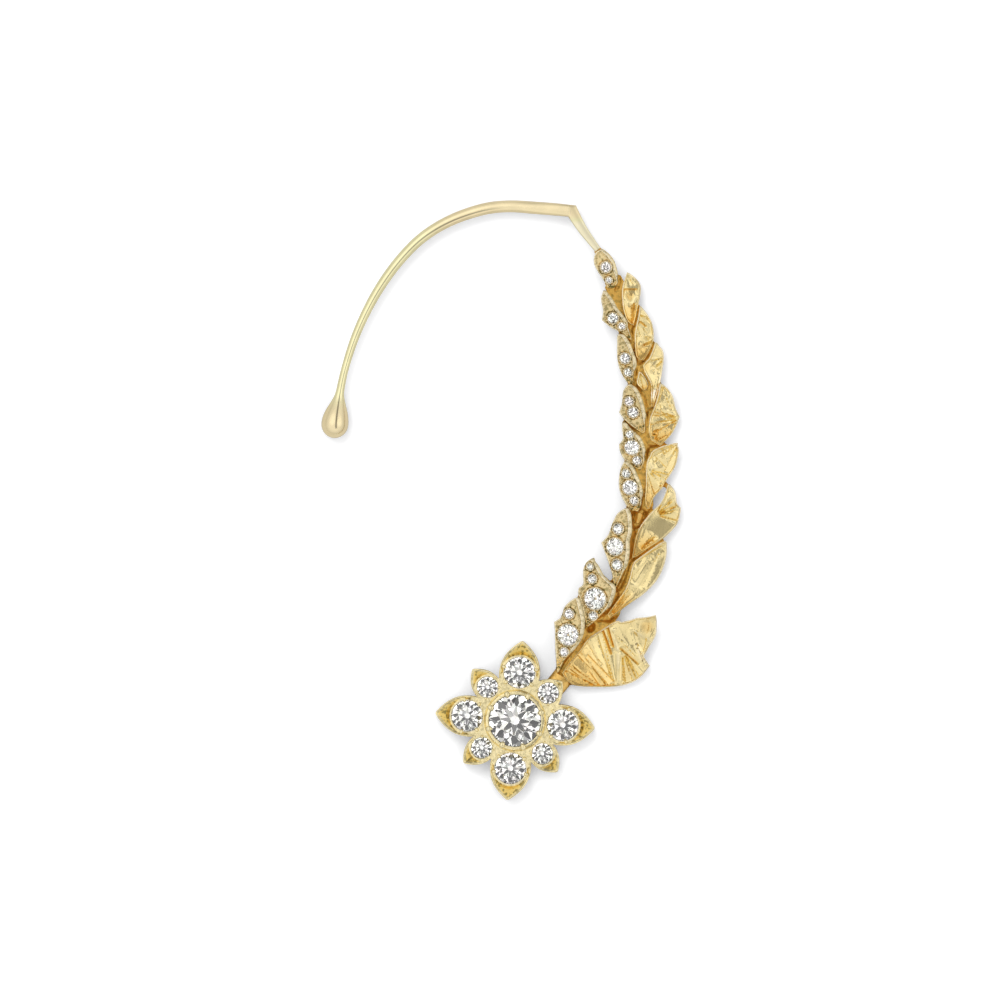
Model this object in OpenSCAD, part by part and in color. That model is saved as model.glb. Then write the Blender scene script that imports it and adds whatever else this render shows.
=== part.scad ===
// Over-the-ear diamond earring: a polished gold wire that hooks over the ear and ends
// in a drop, a branch of diamond-set and chased gold leaves, and a diamond flower.
// It lies face up on its back: +Y is the top of the ear and +Z faces the viewer.

/* [Ear wire] */
// Height of the wire's centre line above the back of the earring
wire_z = 1.4; // [1.4:0.05:1.5]
// Depth of the wire, front to back
wire_depth = 1.1; // [0.9:0.05:1.3]
// Diameter of the drop at the free end of the wire
drop_d = 2.8; // [2.4:0.1:2.8]
// Length of the drop from its neck to its centre
drop_neck_len = 3.2; // [2.8:0.1:3.6]

/* [Branch] */
// Width of the stem behind the lowest leaves
stem_w = 1.3; // [1.1:0.05:1.4]
// Width of the stem's foot, where it runs into the flower
foot_w = 2.1; // [1.5:0.1:2.2]
// Height of the stem's flat-backed bar
stem_h = 0.75; // [0.6:0.05:0.8]
// Thickness of a chased gold leaf
gold_leaf_t = 0.4; // [0.3:0.05:0.45]
// Height of the chased folds across a gold leaf
fold_h = 0.07; // [0:0.01:0.1]
// Depth of the hollow inside a gold leaf's raised inner rim
rim_step = 0.1; // [0.02:0.02:0.14]

/* [Diamond leaves] */
// Width of the raised rim round a diamond leaf
leaf_rim = 0.14; // [0.08:0.02:0.18]
// Depth of the floor inside that rim
leaf_floor = 0.1; // [0.04:0.02:0.14]
// Diameter of the grains that hold the leaf stones
grain_d = 0.22; // [0.14:0.02:0.24]

/* [Flower] */
// Turn of the flower, clockwise from upright, in degrees
flower_turn = 5.5; // [0:0.5:8]
// Reach of the four large petals from the flower's centre
petal_reach = 8.05; // [7.6:0.05:8.3]
// Width of a large petal
petal_w = 4.1; // [3.9:0.1:4.4]
// Reach of the four small petals between them
small_reach = 6.7; // [6.3:0.05:6.9]
// Width of a small petal
small_w = 2.8; // [2.7:0.1:3.1]
// Height of the petals above the back
petal_h = 1.8; // [1.7:0.05:1.9]
// Depth of the hollow in each petal's tip
tip_hollow = 0.45; // [0.2:0.05:0.6]
// Height of the raised centre that holds the main stone
centre_h = 2.45; // [2.4:0.05:2.6]

/* [Stones] */
// Diameter of the centre stone
centre_stone_d = 5.2; // [4.8:0.1:5.2]
// Diameter of the stones in the large petals
petal_stone_d = 3.1; // [2.7:0.1:3.1]
// Diameter of the stones in the small petals
small_stone_d = 2.1; // [1.8:0.1:2.1]
// Space between a stone and its seat
seat_gap = 0.03; // [0.02:0.01:0.05]

/* [Hidden] */
$fn = 48;
gold = "#e9cf86";
pale_gold = "#ece0a8";
diamond = "#f4f7fa";

// Ear wire: columns of its route from the neck of the drop to the mitred corner, and of the arm
X = 0;
Y = 1;
WIDTH = 2;
DEPTH = 3;
SQUARENESS = 4;
NECK = [-16.07, 10.8];
WIRE = [
  // x, y, width, depth, squareness of the section (2 is round)
  [-16.07, 10.8, 0.84, 0.84, 2],
  [-15.6, 13, 0.78, 0.84, 2],
  [-14.7, 15.9, 0.85, 0.9, 2],
  [-13.5, 18.7, 0.92, 0.95, 2],
  [-12, 21.4, 1, 1, 2],
  [-10.1, 24, 1.05, wire_depth, 2],
  [-7.8, 26.3, 1.1, wire_depth, 2],
  [-5, 28, 1.15, wire_depth, 2],
  [-1.8, 29.1, 1.22, wire_depth, 2],
  [0.8, 29.4, 1.22, wire_depth, 2],
  [3.4, 29.25, 1.28, wire_depth, 2.3],
  [5.6, 29.08, 1.28, wire_depth, 3],
  [7.13, 28.92, 1.24, wire_depth, 4]
];
ARM = [
  // x, y, width, depth, squareness, from just below the corner to the first leaf
  [7.5, 28.2, 1.14, 1.05, 4],
  [8.25, 26.95, 0.95, 0.95, 4],
  [9.7, 25.07, 0.68, 0.9, 4]
];
wire_sides = 16;
wire_steps = 4;
drop_rings = 14;
drop_tip_r = 0.02;

// Stem: its route from the flower up to the arm of the ear wire
LIFT = 2;
STEM_WIDTH = 3;
STEM_HEIGHT = 4;
STEM = [
  // x, y, height of its back above the ground, width, height
  [5.3, -18.75, 0, foot_w, stem_h],
  [6.2, -17.6, 0, foot_w, stem_h],
  [7.1, -15.6, 0, stem_w, stem_h],
  [8.5, -13.4, 0, stem_w, stem_h],
  [10.6, -11.2, 0, 1.2, stem_h],
  [12.4, -7.9, 0, 1.15, stem_h],
  [13.3, -3.9, 0, 1.1, stem_h],
  [14.1, -0.4, 0, 1.05, stem_h],
  [14.3, 3.1, 0, 1, stem_h],
  [14.6, 7.1, 0, 0.95, stem_h],
  [14.2, 11.1, 0, 0.95, stem_h],
  [13.5, 15.1, 0.05, 0.9, 0.7],
  [12.5, 18.9, 0.2, 0.85, 0.65],
  [11, 22.3, 0.5, 0.75, 0.6],
  [9.82, 24.88, 0.75, 0.6, 0.5]
];
stem_steps = 3;

// Leaves: columns of the two tables, of a section and of a stone
OUTER = 0;
INNER = 2;
CORNER = 4;
STONE_D = 2;
TOP = 0;
TILT = 1;
CANT = 2;
THICK = 3;
SECTIONS = 4;
STONES = 5;
RISE = 1;
DROP = 2;
leaf_steps = 2;
DIAMOND_LEAVES = [
  // height of the top at the base, tilt to the tip, cant to the outer edge, thickness,
  // sections from base to tip (outer x and y, inner x and y, 1 for an outer corner),
  // stones (x, y, diameter)
  [1.75, 3, 10, 0.6,
    [[10.7, 21.2, 11.2, 21.2, 0], [10.2, 22.1, 11.7, 21.8, 0], [9.6, 23, 11.4, 22.9, 0],
     [9.3, 23.7, 11.1, 23.9, 0], [9.3, 24.3, 10.6, 24.6, 0], [9.5, 24.8, 10, 25.1, 0]],
    [[10.5, 23.3, 1], [10.8, 22, 0.55]]],
  [1.65, 7, 10, 0.6,
    [[12.8, 16.1, 13.1, 16, 0], [12, 16.8, 12.8, 17, 0], [11.1, 17.2, 12.2, 18.2, 0],
     [10.1, 18, 11.5, 19.1, 1], [10.2, 19, 11.1, 19.8, 0], [10, 20.1, 10.7, 20.4, 0],
     [10.2, 20.9, 10.3, 20.9, 0]],
    [[11.2, 18.2, 1], [12.1, 17.4, 0.65]]],
  [1.6, 8, 10, 0.6,
    [[12.9, 11.6, 13.2, 11.7, 0], [12.4, 12.1, 13.3, 12.8, 0], [11.8, 13.3, 13.3, 13.9, 0],
     [11.6, 14.6, 13, 14.8, 0], [11.6, 15.6, 12.7, 15.6, 0], [11.6, 16.3, 12.2, 16.4, 0],
     [11.7, 16.6, 11.9, 16.6, 0]],
    [[12.4, 14.2, 1], [12.7, 12.8, 0.75]]],
  [1.6, 8, 12, 0.65,
    [[14.1, 6.7, 14.4, 6.8, 0], [13.1, 7.4, 14.4, 7.8, 0], [12.4, 8, 14.2, 8.8, 0],
     [11.8, 8.8, 14, 9.7, 1], [12.1, 9.8, 13.7, 10.5, 0], [12.2, 10.9, 13.3, 11.2, 0],
     [12.6, 11.5, 12.8, 11.6, 0]],
    [[12.8, 9.9, 0.85], [13.2, 8.8, 1]]],
  [1.6, 8, 12, 0.65,
    [[13.5, 3.2, 14, 3.1, 0], [12.4, 4, 14.3, 3.8, 0], [11.9, 4.9, 14.3, 4.5, 0],
     [11.8, 5.6, 14.1, 5.4, 1], [12.2, 6.2, 13.7, 6.3, 0], [12.1, 7.1, 12.9, 7, 0],
     [12.1, 7.8, 12.3, 7.7, 0]],
    [[12.85, 6.6, 0.7], [13.1, 5.3, 1.4], [13.6, 4, 0.8]]],
  [1.6, 8, 12, 0.65,
    [[12.9, -1, 13.7, -1.1, 0], [12.6, -0.6, 14, -0.4, 0], [12.1, 0.3, 14, 0.5, 0],
     [11.8, 1.3, 13.8, 1.5, 0], [11.8, 2.3, 13.5, 2.3, 0], [12, 3.3, 13, 3.3, 0],
     [12.3, 3.9, 12.4, 3.9, 0]],
    [[12.5, 2.7, 0.8], [12.9, 1.3, 1.4], [13.3, 0, 0.8]]],
  [1.7, 7, 16, 0.8,
    [[11.2, -8.7, 11.4, -8.8, 0], [11.1, -7.4, 12.1, -7.4, 0], [10.6, -5.8, 12.5, -5.9, 0],
     [10.2, -4.7, 12.6, -4.8, 0], [10, -4.2, 12.6, -4, 1], [10.7, -3.4, 12.8, -3.2, 0],
     [11.1, -2.3, 12.8, -2.2, 0], [11.6, -1.3, 12.7, -1.3, 0], [12.3, -0.8, 12.5, -0.8, 0]],
    [[11.7, -2.8, 1], [11.4, -4.6, 1.65], [11.6, -6.4, 1]]],
  [1.75, 8, 14, 0.85,
    [[8.5, -12.6, 8.7, -12.6, 0], [8.3, -11.6, 9.6, -11.8, 0], [8, -10.4, 10.7, -10.5, 0],
     [7.7, -9.2, 11.2, -8.8, 0], [7.8, -8.7, 10.7, -8.1, 1], [8.2, -8.3, 10, -7.4, 0],
     [8.2, -7, 9.5, -6.5, 0], [8.5, -6.2, 9.2, -6.1, 0], [9, -5.8, 9.1, -5.8, 0]],
    [[8.9, -6.6, 0.6], [9.1, -7.8, 0.85], [9.4, -9.8, 2.1], [9.2, -11.5, 0.8]]],
  [1.75, 8, 14, 0.85,
    [[5.6, -17.2, 5.7, -17.15, 0], [5.5, -15.9, 6.35, -15.9, 0], [5.4, -14.4, 7.3, -14.65, 0],
     [5.4, -13.1, 7.9, -13.6, 0], [5.3, -12.1, 8.1, -12.6, 1], [6, -11.6, 8.1, -11.8, 0],
     [6.3, -10.7, 7.9, -10.9, 0], [6.8, -10.1, 7.7, -10.1, 0], [7.4, -9.7, 7.6, -9.7, 0]],
    [[6.8, -11.3, 0.9], [6.7, -13.4, 2.05], [6.3, -15.1, 0.8]]]
];
GOLD_LEAVES = [
  // height of the top at the base, rise to the tip, drop to the outer edge, thickness,
  // sections from base to tip (outer x and y, inner x and y, 1 for an outer corner)
  [1.3, 0.7, 0.25, gold_leaf_t,
    [[13.3, 17.5, 13.1, 17.5, 0], [13.6, 18.7, 12.6, 18, 0], [13.8, 19.7, 12.2, 19.3, 0],
     [14, 20.9, 12.1, 20.8, 0], [13.9, 21.7, 12.2, 21.6, 0], [13.3, 22.4, 12.4, 22.2, 0],
     [12.7, 22.8, 12.6, 22.8, 0]]],
  [1.3, 0.8, 0.35, gold_leaf_t,
    [[14.3, 14, 13.8, 14, 0], [14.7, 14.6, 13.5, 14.5, 0], [15.2, 15.6, 13.4, 15.6, 0],
     [15.3, 16.7, 13.4, 16.8, 0], [15.1, 17.8, 13.65, 18, 0], [14.6, 18.7, 13.8, 18.8, 0],
     [14.05, 19.4, 13.87, 19.4, 0]]],
  [1.3, 0.8, 0.4, gold_leaf_t,
    [[15.3, 9.4, 15, 9.3, 0], [15.7, 10.7, 15, 10.5, 0], [16, 12.1, 15, 11.6, 0],
     [16.2, 13.3, 14.5, 12.6, 0], [16.3, 14.3, 14.2, 13.5, 0], [16.2, 15, 14.8, 14.2, 0],
     [15.9, 15.4, 15.2, 15.1, 0], [15.6, 15.8, 15.4, 15.8, 0]]],
  [1.3, 0.9, 0.5, gold_leaf_t,
    [[16, 5.4, 15, 6, 0], [16.4, 5.9, 14.8, 6.6, 0], [17.1, 6.7, 14.8, 7.7, 0],
     [17.6, 7.6, 15, 8.6, 0], [17.9, 8.4, 15.2, 9, 1], [17.5, 9.2, 15.5, 9.9, 0],
     [17.2, 10.4, 15.7, 10.6, 0], [16.7, 11.2, 15.8, 11.1, 0], [16.1, 11.7, 15.9, 11.7, 0]]],
  [1.3, 0.9, 0.5, gold_leaf_t,
    [[14.9, -0.8, 14.6, -0.9, 0], [15.3, 0.3, 14.4, 0.1, 0], [16.1, 1.2, 14.5, 1.6, 0],
     [16.7, 2.2, 14.5, 2.8, 0], [17.4, 3.3, 14.6, 3.9, 0], [17.7, 4.3, 14.9, 4.5, 0],
     [17.8, 5.1, 15.2, 5, 0], [17.7, 5.5, 16.3, 5.5, 0], [17.7, 5.8, 17.5, 5.8, 0]]],
  [1.3, 1, 0.5, gold_leaf_t,
    [[13.6, -5.6, 13.1, -5.8, 0], [14.9, -4.7, 13.3, -4.4, 0], [16, -4, 13.6, -3.2, 0],
     [16.9, -3.2, 14.1, -2.3, 0], [17.6, -2.4, 14.9, -1.3, 0], [17.9, -1.5, 15.5, -0.7, 0],
     [18, -0.7, 15.9, -0.3, 1], [17.6, -0.2, 16.2, 0.2, 0], [17.5, 0.7, 16.5, 1, 0],
     [17.2, 1.3, 16.6, 1.4, 0], [16.8, 1.7, 16.7, 1.7, 0]]],
  [1.3, 1.1, 0.6, gold_leaf_t,
    [[10.9, -11.8, 10.6, -11.4, 0], [12.9, -10.3, 11.6, -10, 0], [14.2, -9.4, 12.4, -8.9, 0],
     [15.5, -8.1, 12.9, -7.6, 0], [16.2, -6.8, 13.2, -6.3, 0], [16.5, -5.8, 13.7, -5.8, 0],
     [16.6, -5.1, 14.8, -5, 0], [16.6, -4.6, 15.8, -4.3, 0], [16.6, -4.2, 16.4, -4, 0]]],
  [1.35, 1.2, 0.8, gold_leaf_t,
    [[6.4, -17.7, 6.1, -17.2, 0], [7.2, -18.4, 6.95, -16.05, 0], [9.1, -18.6, 8, -14.75, 0],
     [11.2, -18.6, 8.7, -13.8, 0], [12.8, -18.3, 10.2, -12.8, 0], [14, -17.6, 11.6, -12, 0],
     [14.9, -16.5, 12, -12.1, 1], [14.1, -15.9, 13, -11.9, 1], [14.9, -14.5, 13.6, -11.7, 0],
     [15.5, -13.4, 14.6, -11.6, 0], [15.6, -12, 15.5, -11.4, 0]]]
];
BUD_LEAF = [1.4, 0.5, 0.2, gold_leaf_t,
  [[14.5, 11, 14.2, 11, 0], [14.8, 11.6, 13.6, 11.7, 0], [14.4, 12.4, 13.7, 12.4, 0],
   [14, 12.9, 13.8, 12.9, 0]]];

// Flower: places of the petals and stones, round the flower's centre
FLOWER_AT = [1.43, -21.95];
PETALS = 8;
petal_pitch = 360 / PETALS;
hidden_petal = 1;
hidden_reach = 6.2;
hidden_w = 3.3;
large_stone_r = 4.8;
small_stone_r = 4.3;
tip_len = 3.5;
tip_power = 2.4;
tip_steps = 10;
petal_rim = 0.24;
point_rim = 0.34;
root_share = 0.38;
hollow_from = 0.4;
centre_r = 3.1;
collet_slope = 0.15;
ledge_w = 0.18;
petal_girdle = 1.78;
small_girdle = 1.68;
centre_girdle = 2.45;
grain_share = 0.13;
grain_gap = 0.02;
LEAF_GRAIN_ANGLES = [28, 152, 208, 332];
PETAL_GRAIN_ANGLES = [75, 130, 230, 285];
slot_gap = 0.09;
slot_len = 3;

// Brilliant cut, as shares of the stone's diameter
table_share = 0.56;
crown_share = 0.15;
pavilion_share = 0.43;
girdle_share = 0.03;
crown_break = 0.76;
pavilion_break = 0.3;
small_cut_d = 1.25;
leaf_girdle = -0.04;
open_back_share = 0.08;
facets = 8;
skin = 0.001;
through = 3;

function leaf_name(i) = str("diamond_leaf_", i + 1);
function leaf_stone_name(i, k) = str(leaf_name(i), "_stone_", k + 1);
function gold_leaf_name(i) = str("gold_leaf_", i + 1);
function petal_stone_name(i) = str("petal_stone_", i + 1);

// Curves: a smooth line through rows of numbers, straight at each row marked as a corner
function unit(v) = v / norm(v);
function slope(rows, i) =
  i == 0 ? rows[1] - rows[0] :
  i == len(rows) - 1 ? rows[i] - rows[i - 1] :
  (rows[i + 1] - rows[i - 1]) / 2;
function blend(a, b, ta, tb, s) =
  a * (2 * s * s * s - 3 * s * s + 1) + ta * (s * s * s - 2 * s * s + s)
  + b * (3 * s * s - 2 * s * s * s) + tb * (s * s * s - s * s);
function leaving(rows, corners, i) = corners[i] ? rows[i + 1] - rows[i] : slope(rows, i);
function arriving(rows, corners, i) = corners[i] ? rows[i] - rows[i - 1] : slope(rows, i);
function smooth(rows, corners, steps) = concat(
  [for (i = [0:len(rows) - 2]) for (k = [0:steps - 1])
    blend(rows[i], rows[i + 1], leaving(rows, corners, i), arriving(rows, corners, i + 1), k / steps)],
  [rows[len(rows) - 1]]
);
function no_corners(rows) = [for (r = rows) 0];

// Sweeps: the direction across the route at a station, widened where the route turns
function flat(p) = [p[X], p[Y]];
function ahead(path, i) = unit(flat(path[min(i + 1, len(path) - 1)]) - flat(path[min(i, len(path) - 2)]));
function behind(path, i) = unit(flat(path[max(i, 1)]) - flat(path[max(i - 1, 0)]));
function along(path, i) = unit(ahead(path, i) + behind(path, i));
function across(path, i) = let(t = along(path, i)) [-t[Y], t[X]] / (t * ahead(path, i));
function place(p, n, side, z) = [p[X] + n[X] * side, p[Y] + n[Y] * side, z];

// Triangles that join rings of equal length, and the two caps
function tube_faces(rings, sides) = concat(
  [for (i = [0:rings - 2]) for (k = [0:sides - 1]) let(m = (k + 1) % sides)
    [i * sides + k, i * sides + m, (i + 1) * sides + m]],
  [for (i = [0:rings - 2]) for (k = [0:sides - 1]) let(m = (k + 1) % sides)
    [i * sides + k, (i + 1) * sides + m, (i + 1) * sides + k]],
  [[for (k = [sides - 1:-1:0]) k]],
  [[for (k = [0:sides - 1]) (rings - 1) * sides + k]]
);
module tube(rings) {
  polyhedron(points = [for (r = rings) each r], faces = tube_faces(len(rings), len(rings[0])));
}

// Ear wire: a ring of the rounded section at each station, then the drop below its neck
function signed_power(v, e) = sign(v) * pow(abs(v), e);
function wire_ring(p, n) = [for (k = [0:wire_sides - 1]) let(a = 360 * k / wire_sides)
  place(p, n, p[WIDTH] / 2 * signed_power(cos(a), 2 / p[SQUARENESS]),
    wire_z + p[DEPTH] / 2 * signed_power(sin(a), 2 / p[SQUARENESS]))];
function drop_radius(s) =
  s < drop_neck_len
  ? WIRE[0][WIDTH] / 2 + (drop_d - WIRE[0][WIDTH]) / 2 * pow(sin(90 * s / drop_neck_len), 2)
  : sqrt(max(drop_tip_r * drop_tip_r, drop_d * drop_d / 4 - pow(s - drop_neck_len, 2)));
drop_dir = unit([-0.5, -3.2]);
drop_end = drop_neck_len + drop_d / 2;
function drop_station(k) = drop_end * sin(90 * k / drop_rings);
DROP_PATH = [for (k = [drop_rings:-1:1]) let(s = drop_station(k), r = drop_radius(s))
  [NECK[X] + drop_dir[X] * s, NECK[Y] + drop_dir[Y] * s, 2 * r, 2 * r, 2]];

module ear_hook() {
  path = concat(DROP_PATH, smooth(WIRE, no_corners(WIRE), wire_steps), ARM);
  color(pale_gold)
    tube([for (i = [0:len(path) - 1]) wire_ring(path[i], across(path, i))]);
}

// Stem: a flat back, upright sides and a rounded top at each station
STEM_SECTION = [
  // share of the width across, share of the height
  [-0.5, 0], [0.5, 0], [0.5, 0.55], [0.27, 1], [-0.27, 1], [-0.5, 0.55]
];
function stem_ring(p, n) = [for (c = STEM_SECTION)
  place(p, n, -c[X] * p[STEM_WIDTH], max(0, p[LIFT]) + c[Y] * p[STEM_HEIGHT])];

module branch_stem() {
  path = smooth(STEM, no_corners(STEM), stem_steps);
  color(gold)
    tube([for (i = [0:len(path) - 1]) stem_ring(path[i], across(path, i))]);
}

// Leaf sections: pairs of an outer and an inner point, with rows added between the table's rows
function point_at(row, column) = [row[column], row[column + 1]];
function corner_marks(leaf) = [for (r = leaf[SECTIONS]) r[CORNER]];
function outer_side(leaf) =
  smooth([for (r = leaf[SECTIONS]) point_at(r, OUTER)], corner_marks(leaf), leaf_steps);
function inner_side(leaf) =
  smooth([for (r = leaf[SECTIONS]) point_at(r, INNER)], no_corners(leaf[SECTIONS]), leaf_steps);
function reversed(list) = [for (i = [len(list) - 1:-1:0]) list[i]];
function lerp(a, b, s) = a + (b - a) * s;

// Chased gold leaf: a thin folded plate, with a raised inner rim and folds from rim to edge
SHARE = 0;
STEP = 1;
FOLD = 2;
ACROSS = [
  // share of the way from the inner rim to the outer edge, share of the rim step, of the fold
  [0, 0, 0], [0.1, -1, 0], [0.55, -1, 1], [1, 0, 0]
];
level_share = 0.35;
function fold_sign(i) = i % 2 == 0 ? 1 : -1;
function cant_share(s) = min(1, s / level_share);
function gold_leaf_point(leaf, outer, inner, i, s, c) = let(p = lerp(inner, outer, c[SHARE])) [
  p[X], p[Y],
  leaf[TOP] + leaf[RISE] * s - leaf[DROP] * c[SHARE] * cant_share(s)
    + sin(180 * s) * (rim_step * c[STEP] + fold_h * c[FOLD] * fold_sign(i))
];
function sheet_faces(rows, cols, first, turn) =
  [for (i = [0:rows - 2]) for (k = [0:cols - 2]) for (half = [0, 1])
    let(a = first + i * cols + k, b = a + 1, c = a + cols, d = c + 1,
      tri = half == 0 ? [a, b, d] : [a, d, c])
    turn ? tri : [tri[2], tri[1], tri[0]]];
function rim_loop(rows, cols) = concat(
  [for (k = [0:cols - 2]) k],
  [for (i = [0:rows - 2]) i * cols + cols - 1],
  [for (k = [cols - 1:-1:1]) (rows - 1) * cols + k],
  [for (i = [rows - 1:-1:1]) i * cols]
);
function wall_faces(loop, under) = [for (k = [0:len(loop) - 1]) for (half = [0, 1])
  let(a = loop[k], b = loop[(k + 1) % len(loop)])
  half == 0 ? [a, under + b, b] : [a, under + a, under + b]];

module gold_leaf(leaf) {
  outer = outer_side(leaf);
  inner = inner_side(leaf);
  rows = len(outer);
  cols = len(ACROSS);
  top = [for (i = [0:rows - 1]) for (c = ACROSS)
    gold_leaf_point(leaf, outer[i], inner[i], i, i / (rows - 1), c)];
  under = [for (p = top) p - [0, 0, leaf[THICK]]];
  color(gold)
    polyhedron(
      points = concat(top, under),
      faces = concat(
        sheet_faces(rows, cols, 0, true),
        sheet_faces(rows, cols, len(top), false),
        wall_faces(rim_loop(rows, cols), len(top))
      )
    );
}

// Diamond leaf: its own frame lies on the plate's top face, X from base to tip
function middle(row) = (point_at(row, OUTER) + point_at(row, INNER)) / 2;
function leaf_base(leaf) = middle(leaf[SECTIONS][0]);
function leaf_tip(leaf) = middle(leaf[SECTIONS][len(leaf[SECTIONS]) - 1]);
function leaf_heading(leaf) = let(d = leaf_tip(leaf) - leaf_base(leaf)) atan2(d[Y], d[X]);
function turned(p, a) = [p[X] * cos(a) - p[Y] * sin(a), p[X] * sin(a) + p[Y] * cos(a)];
function on_leaf(leaf, p) =
  let(q = turned(p - leaf_base(leaf), -leaf_heading(leaf)), y = q[Y] / cos(leaf[CANT]))
  [(q[X] - y * sin(leaf[CANT]) * sin(leaf[TILT])) / cos(leaf[TILT]), y];
module leaf_frame(leaf) {
  translate([leaf_base(leaf)[X], leaf_base(leaf)[Y], leaf[TOP]])
    rotate([0, 0, leaf_heading(leaf)])
      rotate([0, -leaf[TILT], 0])
        rotate([-leaf[CANT], 0, 0])
          children();
}
function wide_rows(leaf, outer, inner) =
  [for (i = [1:len(outer) - 2]) if (norm(outer[i] - inner[i]) > 4 * leaf_rim) i];

module leaf_plate(leaf) {
  outer = outer_side(leaf);
  inner = inner_side(leaf);
  translate([0, 0, -leaf[THICK]])
    linear_extrude(leaf[THICK])
      polygon([for (p = concat(outer, reversed(inner))) on_leaf(leaf, p)]);
}
module leaf_pocket(leaf) {
  outer = outer_side(leaf);
  inner = inner_side(leaf);
  wide = wide_rows(leaf, outer, inner);
  outer_wall = [for (i = wide) outer[i] + unit(inner[i] - outer[i]) * leaf_rim];
  inner_wall = [for (i = wide) inner[i] + unit(outer[i] - inner[i]) * leaf_rim];
  translate([0, 0, -leaf_floor])
    linear_extrude(through)
      polygon([for (p = concat(outer_wall, reversed(inner_wall))) on_leaf(leaf, p)]);
}
module at_leaf_stone(leaf, stone) {
  p = on_leaf(leaf, [stone[X], stone[Y]]);
  translate([p[X], p[Y], leaf_girdle])
    children();
}
function grain_r(stone, grain) = (stone + grain) / 2 + seat_gap + grain_gap;
module leaf_grains(d) {
  for (a = LEAF_GRAIN_ANGLES)
    rotate(a)
      translate([grain_r(d, grain_d), 0, 0])
        sphere(d = grain_d, $fn = 16);
}
module diamond_leaf(leaf) {
  color(gold)
    leaf_frame(leaf)
      difference() {
        union() {
          difference() {
            leaf_plate(leaf);
            leaf_pocket(leaf);
          }
          for (stone = leaf[STONES])
            at_leaf_stone(leaf, stone)
              leaf_grains(stone[STONE_D]);
        }
        for (stone = leaf[STONES])
          at_leaf_stone(leaf, stone)
            seat(stone[STONE_D]);
      }
}
module leaf_stone(leaf, stone) {
  color(diamond)
    leaf_frame(leaf)
      at_leaf_stone(leaf, stone)
        cut_stone(stone[STONE_D]);
}

// Seat: a straight wall round the girdle, a cone for the pavilion and a small open back
module seat(d) {
  r = d / 2 + seat_gap;
  girdle = d * girdle_share;
  depth = d * pavilion_share;
  open_r = d * open_back_share;
  translate([0, 0, -girdle])
    cylinder(r = r, h = through);
  translate([0, 0, -girdle - depth])
    cylinder(r1 = open_r, r2 = r, h = depth + skin);
  translate([0, 0, -through])
    cylinder(r = open_r, h = through);
}

// Stones: large ones have the full set of crown and pavilion facets, small ones eight and eight
module cut_stone(d) {
  if (d > small_cut_d)
    full_cut(d);
  else
    eight_cut(d);
}
function circle_point(r, a, z) = [r * cos(a), r * sin(a), z];
module full_cut(d) {
  r = d / 2;
  last = facets - 1;
  rim = 2 * facets;
  pitch = 360 / facets;
  half = pitch / 2;
  girdle = d * girdle_share / 2;
  table_z = girdle + d * crown_share;
  table_r = r * table_share;
  break_r = r * crown_break;
  break_z = table_z - (break_r * cos(half) - table_r) / (r - table_r) * (table_z - girdle);
  culet_z = -girdle - d * pavilion_share;
  low_r = r * pavilion_break;
  low_z = culet_z + low_r * cos(half) / r * (-girdle - culet_z);
  points = concat(
    [for (k = [0:last]) circle_point(table_r, pitch * k, table_z)],
    [for (k = [0:last]) circle_point(break_r, pitch * k + half, break_z)],
    [for (k = [0:rim - 1]) circle_point(r, half * k, girdle)],
    [for (k = [0:rim - 1]) circle_point(r, half * k, -girdle)],
    [for (k = [0:last]) circle_point(low_r, pitch * k + half, low_z)],
    [[0, 0, culet_z]]
  );
  crown = facets;
  upper = crown + facets;
  lower = upper + rim;
  deep = lower + rim;
  culet = deep + facets;
  faces = concat(
    [[for (k = [last:-1:0]) k]],
    [for (k = [0:last]) [k, (k + 1) % facets, crown + k]],
    [for (k = [0:last]) let(b = (k + last) % facets) [k, crown + k, upper + 2 * k, crown + b]],
    [for (k = [0:last]) [crown + k, upper + 2 * k + 1, upper + 2 * k]],
    [for (k = [0:last]) [crown + k, upper + (2 * k + 2) % rim, upper + 2 * k + 1]],
    [for (k = [0:rim - 1]) let(m = (k + 1) % rim) [upper + k, upper + m, lower + m, lower + k]],
    [for (k = [0:last]) [deep + k, lower + 2 * k, lower + 2 * k + 1]],
    [for (k = [0:last]) [deep + k, lower + 2 * k + 1, lower + (2 * k + 2) % rim]],
    [for (k = [0:last]) [culet, deep + (k + last) % facets, lower + 2 * k, deep + k]]
  );
  polyhedron(points = points, faces = faces);
}
module eight_cut(d) {
  r = d / 2;
  last = facets - 1;
  pitch = 360 / facets;
  upper = facets;
  lower = 2 * facets;
  culet = 3 * facets;
  girdle = d * girdle_share / 2;
  points = concat(
    [for (k = [0:last]) circle_point(r * table_share, pitch * k, girdle + d * crown_share)],
    [for (k = [0:last]) circle_point(r, pitch * k, girdle)],
    [for (k = [0:last]) circle_point(r, pitch * k, -girdle)],
    [[0, 0, -girdle - d * pavilion_share]]
  );
  faces = concat(
    [[for (k = [last:-1:0]) k]],
    [for (k = [0:last]) let(m = (k + 1) % facets) [k, m, upper + m, upper + k]],
    [for (k = [0:last]) let(m = (k + 1) % facets) [upper + k, upper + m, lower + m, lower + k]],
    [for (k = [0:last]) let(m = (k + 1) % facets) [culet, lower + k, lower + m]]
  );
  polyhedron(points = points, faces = faces);
}

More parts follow.
